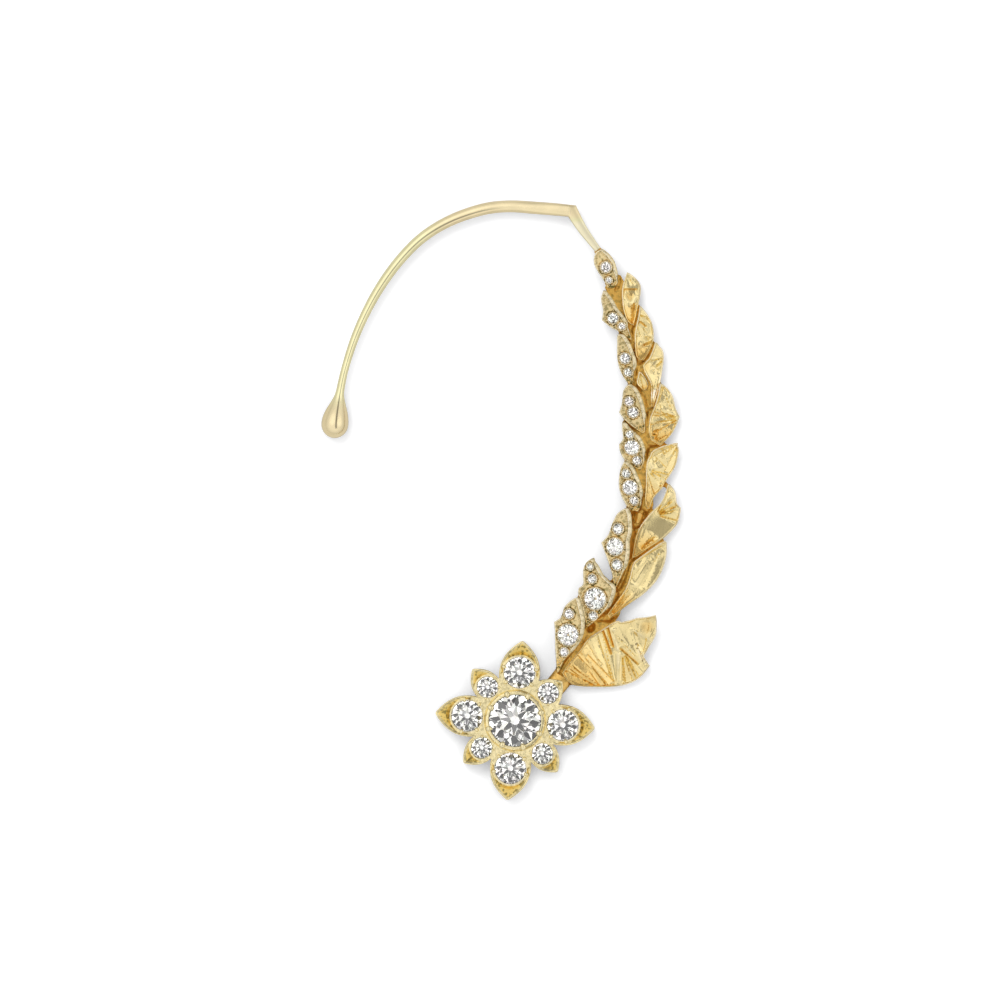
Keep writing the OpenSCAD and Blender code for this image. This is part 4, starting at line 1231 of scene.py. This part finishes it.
def gold_surface():
    """Node group: colour, roughness and relief of worn gold from a piece's painted light and polish; the
    colour carries painted shade and painted highlight.
    """
    name = "Gold surface"
    if name in bpy.data.node_groups:
        return bpy.data.node_groups[name]
    group = bpy.data.node_groups.new(name, "ShaderNodeTree")
    socket(group, "Color", "NodeSocketColor", "INPUT", (0.83, 0.65, 0.27, 1))
    socket(group, "Painted Shade Color", "NodeSocketColor", "INPUT", (0.7, 0.4, 0.08, 1))
    socket(group, "Painted Highlight Color", "NodeSocketColor", "INPUT", (0.95, 0.86, 0.68, 1))
    socket(group, "Satin Roughness", "NodeSocketFloat", "INPUT", 0.3, 0, 1)
    socket(group, "Polished Roughness", "NodeSocketFloat", "INPUT", 0.1, 0, 1)
    socket(group, "Grain Size", "NodeSocketFloat", "INPUT", 0.15, 0.01, 10)
    socket(group, "Pit And Shade Color", "NodeSocketColor", "INPUT", (0.21, 0.17, 0.05, 1))
    socket(group, "Flecks", "NodeSocketFloat", "INPUT", 0.2, 0, 1)
    socket(group, "Color", "NodeSocketColor", "OUTPUT")
    socket(group, "Roughness", "NodeSocketFloat", "OUTPUT")
    socket(group, "Height", "NodeSocketFloat", "OUTPUT")
    nodes, links = group.nodes, group.links
    given = nodes.new("NodeGroupInput")
    out = nodes.new("NodeGroupOutput")
    place = new_node(nodes, "TexCoord")
    tint = new_node(nodes, "Attribute", attribute_name="tint")
    polish = new_node(nodes, "Attribute", attribute_name="polish")

    # Fine relief, in grains per metre
    scale = new_node(nodes, "Math", {0: 1 / MM}, operation="DIVIDE")
    grain = new_node(nodes, "TexNoise", {"Detail": 4})
    join(
        links,
        (given, "Grain Size", scale, 1),
        (scale, 0, grain, "Scale"),
        (place, "Object", grain, "Vector"),
        (grain, "Fac", out, "Height"),
    )

    # Painted highlight below a painted light of 0 and painted shade above it, with soft clouds of uneven
    # tone
    highlight_share = new_node(nodes, "MapRange", {"From Max": -1})
    with_highlight = new_node(nodes, "Mix", data_type="RGBA")
    with_shade = new_node(nodes, "Mix", data_type="RGBA")
    cloud = new_node(nodes, "TexNoise", {"Scale": 0.55 / MM, "Detail": 3})
    shade = new_node(nodes, "MapRange", {"To Min": 0.88, "To Max": 1.1})
    vary = new_node(nodes, "HueSaturation")
    join(
        links,
        (tint, "Fac", highlight_share, "Value"),
        (highlight_share, 0, with_highlight, "Factor"),
        (given, "Color", with_highlight, "A"),
        (given, "Painted Highlight Color", with_highlight, "B"),
        (tint, "Fac", with_shade, "Factor"),
        (with_highlight, "Result", with_shade, "A"),
        (given, "Painted Shade Color", with_shade, "B"),
        (place, "Object", cloud, "Vector"),
        (cloud, "Fac", shade, "Value"),
        (shade, 0, vary, "Value"),
        (with_shade, "Result", vary, "Color"),
    )

    # Dark flecks of pitted metal, more of them where the painted shade is deep, and a full painted dark
    # where the painted light goes past 1
    spots = new_node(nodes, "TexNoise", {"Scale": 3.2 / MM, "Detail": 2})
    pick = new_node(nodes, "MapRange", {"From Min": 0.5, "From Max": 0.62}, interpolation_type="SMOOTHSTEP")
    more_in_shade = new_node(nodes, "MapRange", {"To Min": 1, "To Max": 4})
    pits_more_in_shade = new_node(nodes, "Math", operation="MULTIPLY")
    share = new_node(nodes, "Math", operation="MULTIPLY")
    # Past a painted light of 1 the colour goes fully dark, as painted shade in the deepest cuts
    cut = new_node(nodes, "Math", {1: 1}, operation="SUBTRACT", use_clamp=True)
    pits_and_shade = new_node(nodes, "Math", use_clamp=True)
    pitted_and_shaded = new_node(nodes, "Mix", data_type="RGBA")
    join(
        links,
        (place, "Object", spots, "Vector"),
        (spots, "Fac", pick, "Value"),
        (tint, "Fac", more_in_shade, "Value"),
        (pick, 0, pits_more_in_shade, 0),
        (more_in_shade, 0, pits_more_in_shade, 1),
        (pits_more_in_shade, 0, share, 0),
        (given, "Flecks", share, 1),
        (tint, "Fac", cut, 0),
        (share, 0, pits_and_shade, 0),
        (cut, 0, pits_and_shade, 1),
        (pits_and_shade, 0, pitted_and_shaded, "Factor"),
        (vary, 0, pitted_and_shaded, "A"),
        (given, "Pit And Shade Color", pitted_and_shaded, "B"),
        (pitted_and_shaded, "Result", out, "Color"),
    )
    rough = new_node(nodes, "Mix")
    join(
        links,
        (polish, "Fac", rough, "Factor"),
        (given, "Satin Roughness", rough, "A"),
        (given, "Polished Roughness", rough, "B"),
        (rough, "Result", out, "Roughness"),
    )
    return group


def gold(kind):
    """One of the gold finishes, made once."""
    if kind in bpy.data.materials:
        return bpy.data.materials[kind]
    metal = settings().metal
    color, shade_tone, satin, polished, grain, bump, flecks = {
        # colour, colour of the painted shade, satin and polished roughness, grain in mm, strength of the
        # relief, flecks
        "polished_wire": (metal.hook_color, metal.hook_reflection_color, 0.36, 0.14, 0.5, 0.004, 0.0),
        "chased_gold": (metal.leaf_color, metal.painted_shade_color, 0.2, 0.13, 0.12, 0.08, 0.04),
        "set_leaf_gold": (metal.set_color, metal.painted_shade_color, 0.33, 0.14, 0.14, 0.35, 0.45),
        "cast_flower": (metal.flower_color, metal.petal_tip_shade_color, 0.22, 0.12, 0.3, 0.15, 0.2),
        "stem_gold": (metal.stem_shade_color, metal.painted_shade_color, 0.34, 0.34, 0.2, 0.3, 0.15),
        "solder_gold": (metal.painted_shade_color, metal.solder_shade_color, 0.4, 0.4, 0.3, 0.6, 0.12),
    }[kind]
    material, nodes, links, surface = new_material(kind, Metallic=1.0)
    look = {
        "Color": (*color, 1),
        "Painted Shade Color": (*shade_tone, 1),
        "Satin Roughness": satin,
        "Polished Roughness": polished,
        "Grain Size": grain,
        "Flecks": flecks,
    }
    finish = new_node(nodes, "Group", look, node_tree=gold_surface())
    relief = new_node(nodes, "Bump", {"Strength": bump, "Distance": 0.1 * MM})
    join(
        links,
        (finish, "Color", surface, "Base Color"),
        (finish, "Roughness", surface, "Roughness"),
        (finish, "Height", relief, "Height"),
        (relief, "Normal", surface, "Normal"),
    )
    return material


def diamond():
    """Clear stone with a high index and faint painted flashes of colour for its fire."""
    if "cut_diamond" in bpy.data.materials:
        return bpy.data.materials["cut_diamond"]
    material, nodes, links, surface = new_material(
        "cut_diamond", Metallic=0.0, Roughness=0.0, IOR=2.42, Transmission_Weight=1.0)
    place = new_node(nodes, "TexCoord")
    cells = new_node(nodes, "TexVoronoi", {"Scale": 2.2 / MM})
    painted_fire = new_node(nodes, "Mix", {"Factor": 0.1, "A": (1.0, 0.985, 0.93, 1)}, data_type="RGBA")
    join(
        links,
        (place, "Object", cells, "Vector"),
        (cells, "Color", painted_fire, "B"),
        (painted_fire, "Result", surface, "Base Color"),
    )
    return material


def floor_material():
    """White surface, brightened for the camera and greyer where the polished metal mirrors it."""
    material, nodes, links, surface = new_material(
        "white_surface", Roughness=0.9, Specular_IOR_Level=0.1, Emission_Strength=0.235)
    ray = new_node(nodes, "LightPath")
    tones = {"A": (0.95, 0.95, 0.95, 1), "B": (0.69, 0.68, 0.65, 1)}
    shade = new_node(nodes, "Mix", tones, data_type="RGBA")
    join(
        links,
        (ray, "Is Glossy Ray", shade, "Factor"),
        (shade, "Result", surface, "Base Color"),
        (ray, "Is Camera Ray", surface, "Emission Color"),
    )
    return material


# Stage


def light_tent(world, stage):
    """Soft light from all round, and the broken light of the room that only the stones pick up."""
    world.use_nodes = True
    nodes, links = world.node_tree.nodes, world.node_tree.links
    background = nodes["Background"]
    background.inputs["Strength"].default_value = stage.tent
    place = new_node(nodes, "TexCoord")
    split = new_node(nodes, "SeparateXYZ")
    join(links, (place, "Generated", split, 0))
    soft = dome(nodes, links, split, stage.tent_levels())
    for box in stage.boxes():
        soft = bright_box(nodes, links, place, soft, *box)
    soft = seam_band(nodes, links, split, soft, stage)
    ray = new_node(nodes, "LightPath")
    either = new_node(nodes, "Mix", data_type="RGBA")
    join(
        links,
        (ray, "Is Transmission Ray", either, "Factor"),
        (soft, "Result", either, "A"),
        (broken_room(nodes, links, place, split, stage), 0, either, "B"),
        (either, "Result", background, "Color"),
    )


def bright_box(nodes, links, place, light, direction, tight, wide, power):
    """The light with one bright box added, soft from a tight to a wide angle round its direction."""
    towards = new_node(nodes, "VectorMath", {1: Vector(direction).normalized()}, operation="DOT_PRODUCT")
    span = {
        "From Min": math.cos(math.radians(wide)),
        "From Max": math.cos(math.radians(tight)),
        "To Max": power,
    }
    patch = new_node(nodes, "MapRange", span, interpolation_type="SMOOTHSTEP")
    add = new_node(nodes, "VectorMath")
    join(
        links,
        (place, "Generated", towards, 0),
        (towards, "Value", patch, "Value"),
        (light, 0, add, 0),
        (patch, 0, add, 1),
    )
    return add


def broken_room(nodes, links, place, split, stage):
    """The light of the room in patches, as the stones see it."""
    levels = dome(nodes, links, split, stage.room_levels())
    cells = new_node(nodes, "TexVoronoi", {"Scale": stage.room_grain})
    shade = new_node(nodes, "SeparateColor")
    span = {"From Min": 0.15, "From Max": 0.6, "To Min": 0.03, "To Max": 1.1}
    steps = new_node(nodes, "MapRange", span)
    patchy = new_node(nodes, "VectorMath", operation="MULTIPLY")
    join(
        links,
        (place, "Generated", cells, "Vector"),
        (cells, "Color", shade, 0),
        (shade, 0, steps, "Value"),
        (levels, 0, patchy, 0),
        (steps, 0, patchy, 1),
    )
    return patchy


def seam_band(nodes, links, split, light, stage):
    """The light with the tent's dark seam, which runs over the lens from front to back."""
    off = new_node(nodes, "Math", {1: stage.seam_place}, operation="SUBTRACT")
    size = new_node(nodes, "Math", operation="ABSOLUTE")
    width = {"From Min": stage.seam_width, "From Max": stage.seam_width * 0.4}
    near = new_node(nodes, "MapRange", width, interpolation_type="SMOOTHSTEP")
    front = {"From Min": -0.65, "From Max": -0.45}
    reach = new_node(nodes, "MapRange", front, interpolation_type="SMOOTHSTEP")
    both = new_node(nodes, "Math", operation="MULTIPLY")
    darker = new_node(nodes, "Mix", {"B": (0.3, 0.3, 0.3, 1)}, data_type="RGBA")
    join(
        links,
        (split, "X", off, 0),
        (off, 0, size, 0),
        (size, 0, near, "Value"),
        (split, "Y", reach, "Value"),
        (near, 0, both, 0),
        (reach, 0, both, 1),
        (both, 0, darker, "Factor"),
        (light, 0, darker, "A"),
    )
    return darker


def dome(nodes, links, split, levels):
    """Brightness that changes with the height over the horizon."""
    made = new_node(nodes, "ValToRGB")
    made.color_ramp.interpolation = "EASE"
    ramp = made.color_ramp.elements
    while len(ramp) < len(levels):
        ramp.new(0.5)
    for element, (spot, grey) in zip(ramp, levels):
        element.position = spot
        element.color = (grey, grey, grey, 1)
    join(links, (split, "Z", made, "Fac"))
    return made


def set_stage():
    """White floor, light tent, one soft lamp and the camera straight above."""
    stage = settings().stage
    scene = bpy.context.scene
    scene.view_settings.view_transform = "Standard"
    scene.view_settings.look = "None"
    scene.cycles.caustics_reflective = False
    bpy.ops.mesh.primitive_plane_add(size=FLOOR_WIDTH)
    floor = bpy.context.object
    floor.name = "floor"
    floor.data.materials.append(floor_material())
    world = bpy.data.worlds.new("light_tent")
    scene.world = world
    light_tent(world, stage)
    lamp_data = bpy.data.lights.new("soft_box", "AREA")
    lamp_data.shape = "RECTANGLE"
    lamp_data.size, lamp_data.size_y = LAMP_SIZE
    lamp_data.energy = stage.lamp
    lamp = bpy.data.objects.new("soft_box", lamp_data)
    lamp.visible_glossy = False
    lamp.location = LAMP_PLACE
    lamp.rotation_euler = (-lamp.location).to_track_quat("-Z", "Y").to_euler()
    scene.collection.objects.link(lamp)
    camera_data = bpy.data.cameras.new("camera")
    camera_data.lens = LENS
    camera_data.sensor_width = SENSOR
    camera = bpy.data.objects.new("camera", camera_data)
    camera.location = (*CAMERA_PLACE, LENS * stage.width / SENSOR)
    scene.collection.objects.link(camera)
    scene.camera = camera


# Settings, buttons and panel


def in_mm(name, words, value):
    """A length in the sidebar; the value is in mm."""
    return bpy.props.FloatProperty(
        name=name, description=words, subtype="DISTANCE", unit="LENGTH", precision=6, default=value * MM)


def tone(name, words, value):
    """A colour in the sidebar."""
    return bpy.props.FloatVectorProperty(
        name=name, description=words, subtype="COLOR", size=3, min=0, max=1, default=value)


def number(name, words, value, low=-1000.0, high=1000.0):
    """A plain number in the sidebar."""
    return bpy.props.FloatProperty(name=name, description=words, default=value, min=low, max=high)


def times(name, words, value):
    """A number of times in the sidebar."""
    return bpy.props.IntProperty(name=name, description=words, default=value, min=0)


class MetalSettings(bpy.types.PropertyGroup):
    hook_color: tone("Ear wire", "Colour of the polished wire", (0.85, 0.79, 0.475))
    # Painted reflection and shade on the wire's top and at its drop
    hook_reflection_color: tone("Wire reflection", "Colour of the wire along its top and at its drop", (0.87, 0.735, 0.455))
    leaf_color: tone("Gold leaves", "Colour of the chased leaves", (0.89, 0.73, 0.37))
    set_color: tone("Set leaves", "Colour of the leaves that hold stones", (0.74, 0.61, 0.34))
    flower_color: tone("Flower", "Colour of the flower's metal", (0.90, 0.78, 0.46))
    # Painted shade: the stem is deeper orange than the leaves as it lies between and under them
    stem_shade_color: tone("Stem", "Colour of the stem", (0.86, 0.54, 0.16))
    # Painted shade of the solder in the seams
    solder_shade_color: tone("Solder", "Colour of the solder in the seams", (0.68, 0.40, 0.09))
    # Painted shade: the orange that stands for the shade between and behind the leaves
    painted_shade_color: tone("Painted shade", "Colour of the gold between and behind the leaves", (0.83, 0.54, 0.17))
    # Painted shade of the flower, strongest in the hollow petal tips
    petal_tip_shade_color: tone("Petal tip shade", "Colour of the hollow petal tips", (0.80, 0.58, 0.18))


class LeafSettings(bpy.types.PropertyGroup):
    thickness: in_mm("Thickness", "Thickness of a chased leaf", 0.4)
    recess: in_mm("Recess", "Depth of a leaf's field below its rim", 0.07)
    grain: in_mm("Grain", "Diameter of the grains that hold the leaf stones", 0.23)
    grain_step: in_mm("Grain step", "Distance from one grain to the next round a stone", 0.38)
    moat: in_mm("Moat", "Depth of the sunk ring that the grains stand in", 0.16)
    bead: in_mm("Bead", "Diameter of the tiny beads along a set leaf's rim", 0.19)
    roll: in_mm("Rolled edge", "How far the inner edge of a set leaf rolls outwards", 0.22)
    net: in_mm("Net", "Spacing of the net of points on a leaf", 0.085)
    smoothing: times("Smoothing", "How often a leaf's folds are evened out", 60)
    cut_depth: number("Cuts", "Depth of the chisel cuts, as a share of the usual depth", 1.4, 0, 2)


class SeamSettings(bpy.types.PropertyGroup):
    cell: in_mm("Cell", "Fineness of the solder's surface", 0.07)
    reach: in_mm("Reach", "Half the width of the widest seam that is filled", 0.26)
    stem_reach: in_mm(
        "Reach at the stem", "The same for seams along the stem, and how far they run from it", 0.65)
    drop: in_mm("Depth", "Depth of the solder below the leaves", 0.25)
    thickness: in_mm("Thickness", "Thickness of the solder", 0.35)
    hole: bpy.props.FloatProperty(
        name="Hole", description="Area of the largest hole between the leaves that is filled",
        subtype="NONE", unit="AREA", precision=8, default=1.2 * MM * MM)


class FlowerSettings(bpy.types.PropertyGroup):
    tip_rounding: times("Blunt tips", "How often the petal tips are evened out", 3)
    tip_slope: number("Tip slope", "Steepness of the two halves of a petal tip", 0.55, 0, 2)
    tip_depth: in_mm("Tip depth", "Greatest depth of a petal tip's hollow", 0.6)
    grain_share: number("Grains", "Diameter of a petal stone's grain as a share of the stone", 0.12)


class StageSettings(bpy.types.PropertyGroup):
    tent: number("Tent", "Strength of the light tent", 1.0)
    lamp: bpy.props.FloatProperty(
        name="Lamp", description="Power of the soft lamp", subtype="POWER", unit="POWER", default=0.75)
    width: in_mm("Frame", "Width that the picture takes in", 100)
    room_grain: number("Room", "How finely broken the light in the stones is", 9.0, 0.5, 30)
    seam_place: number("Seam place", "How far to the side the tent's dark seam lies", 0.19)
    seam_width: number("Seam width", "Half the width of the tent's dark seam", 0.17)

    def tent_levels(self):
        """Brightness of the tent at steps of height, from the horizon to straight above."""
        return [(0.0, 0.70), (0.2, 0.75), (0.45, 0.9), (0.7, 1.0), (1.0, 1.04)]

    def room_levels(self):
        """Brightness of what the stones see, dark at the lens above and near the horizon."""
        return [(0.0, 0.1), (0.3, 0.6), (0.5, 1.35), (0.9, 1.5), (0.965, 1.0), (0.99, 0.05)]

    def boxes(self):
        """Bright boxes of the tent: direction, sharp and soft edge in degrees, added brightness."""
        return [((-0.36, 0.3, 0.88), 8, 34, 0.22), ((0.62, 0.1, 0.75), 8, 30, 0.22)]


class EarringSettings(bpy.types.PropertyGroup):
    metal: bpy.props.PointerProperty(type=MetalSettings)
    leaf: bpy.props.PointerProperty(type=LeafSettings)
    seam: bpy.props.PointerProperty(type=SeamSettings)
    flower: bpy.props.PointerProperty(type=FlowerSettings)
    stage: bpy.props.PointerProperty(type=StageSettings)


class EARRING_OT_ear_wire(bpy.types.Operator):
    """Round and polish the ear wire with its drop and arm"""

    bl_idname = "earring.ear_wire"
    bl_label = "Ear wire"

    def execute(self, context):
        ear_wire()
        return {"FINISHED"}


class EARRING_OT_stem(bpy.types.Operator):
    """Round the stem that carries the leaves"""

    bl_idname = "earring.stem"
    bl_label = "Stem"

    def execute(self, context):
        stem()
        return {"FINISHED"}


class EARRING_OT_solder(bpy.types.Operator):
    """Fill the seams between the leaves and the stem with solder"""

    bl_idname = "earring.solder"
    bl_label = "Solder"

    def execute(self, context):
        solder()
        return {"FINISHED"}


class EARRING_OT_gold_leaves(bpy.types.Operator):
    """Chase the gold leaves and the bud"""

    bl_idname = "earring.gold_leaves"
    bl_label = "Gold leaves"

    def execute(self, context):
        for node in GOLD_LEAVES + ["bud_leaf"]:
            gold_leaf(node)
        return {"FINISHED"}


class EARRING_OT_diamond_leaves(bpy.types.Operator):
    """Finish the leaves that hold stones"""

    bl_idname = "earring.diamond_leaves"
    bl_label = "Diamond leaves"

    def execute(self, context):
        for node in DIAMOND_LEAVES:
            diamond_leaf(node)
        return {"FINISHED"}


class EARRING_OT_flower(bpy.types.Operator):
    """Shape the flower's petals, collars and grains"""

    bl_idname = "earring.flower"
    bl_label = "Flower"

    def execute(self, context):
        flower()
        return {"FINISHED"}


class EARRING_OT_stones(bpy.types.Operator):
    """Give the cut stones their clear material"""

    bl_idname = "earring.stones"
    bl_label = "Stones"

    def execute(self, context):
        for node in STONES:
            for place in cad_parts[node].material_slots:
                place.material = diamond()
        return {"FINISHED"}


class EARRING_OT_stage(bpy.types.Operator):
    """Set the floor, light and camera"""

    bl_idname = "earring.stage"
    bl_label = "Stage"

    def execute(self, context):
        set_stage()
        return {"FINISHED"}


OPERATORS = (
    EARRING_OT_ear_wire, EARRING_OT_stem, EARRING_OT_solder, EARRING_OT_gold_leaves,
    EARRING_OT_diamond_leaves, EARRING_OT_flower, EARRING_OT_stones, EARRING_OT_stage,
)


class EARRING_PT_panel(bpy.types.Panel):
    """Sizes, colours and steps of the earring"""

    bl_label = "Earring"
    bl_idname = "EARRING_PT_panel"
    bl_space_type = "VIEW_3D"
    bl_region_type = "UI"
    bl_category = "Earring"

    def draw(self, context):
        column = self.layout.column()
        for group in ("metal", "leaf", "seam", "flower", "stage"):
            box = column.box()
            values = getattr(context.scene.earring, group)
            for name in type(values).__annotations__:
                box.prop(values, name)
        for operator in OPERATORS:
            column.operator(operator.bl_idname)


CLASSES = (
    MetalSettings, LeafSettings, SeamSettings, FlowerSettings, StageSettings, EarringSettings,
    *OPERATORS, EARRING_PT_panel,
)


def register():
    for made in CLASSES:
        bpy.utils.register_class(made)
    bpy.types.Scene.earring = bpy.props.PointerProperty(type=EarringSettings)


def unregister():
    del bpy.types.Scene.earring
    for made in reversed(CLASSES):
        bpy.utils.unregister_class(made)


def main():
    register()
    bpy.ops.earring.ear_wire()
    bpy.ops.earring.stem()
    bpy.ops.earring.solder()
    bpy.ops.earring.gold_leaves()
    bpy.ops.earring.diamond_leaves()
    bpy.ops.earring.flower()
    bpy.ops.earring.stones()
    bpy.ops.earring.stage()


if __name__ == "__main__":
    main()
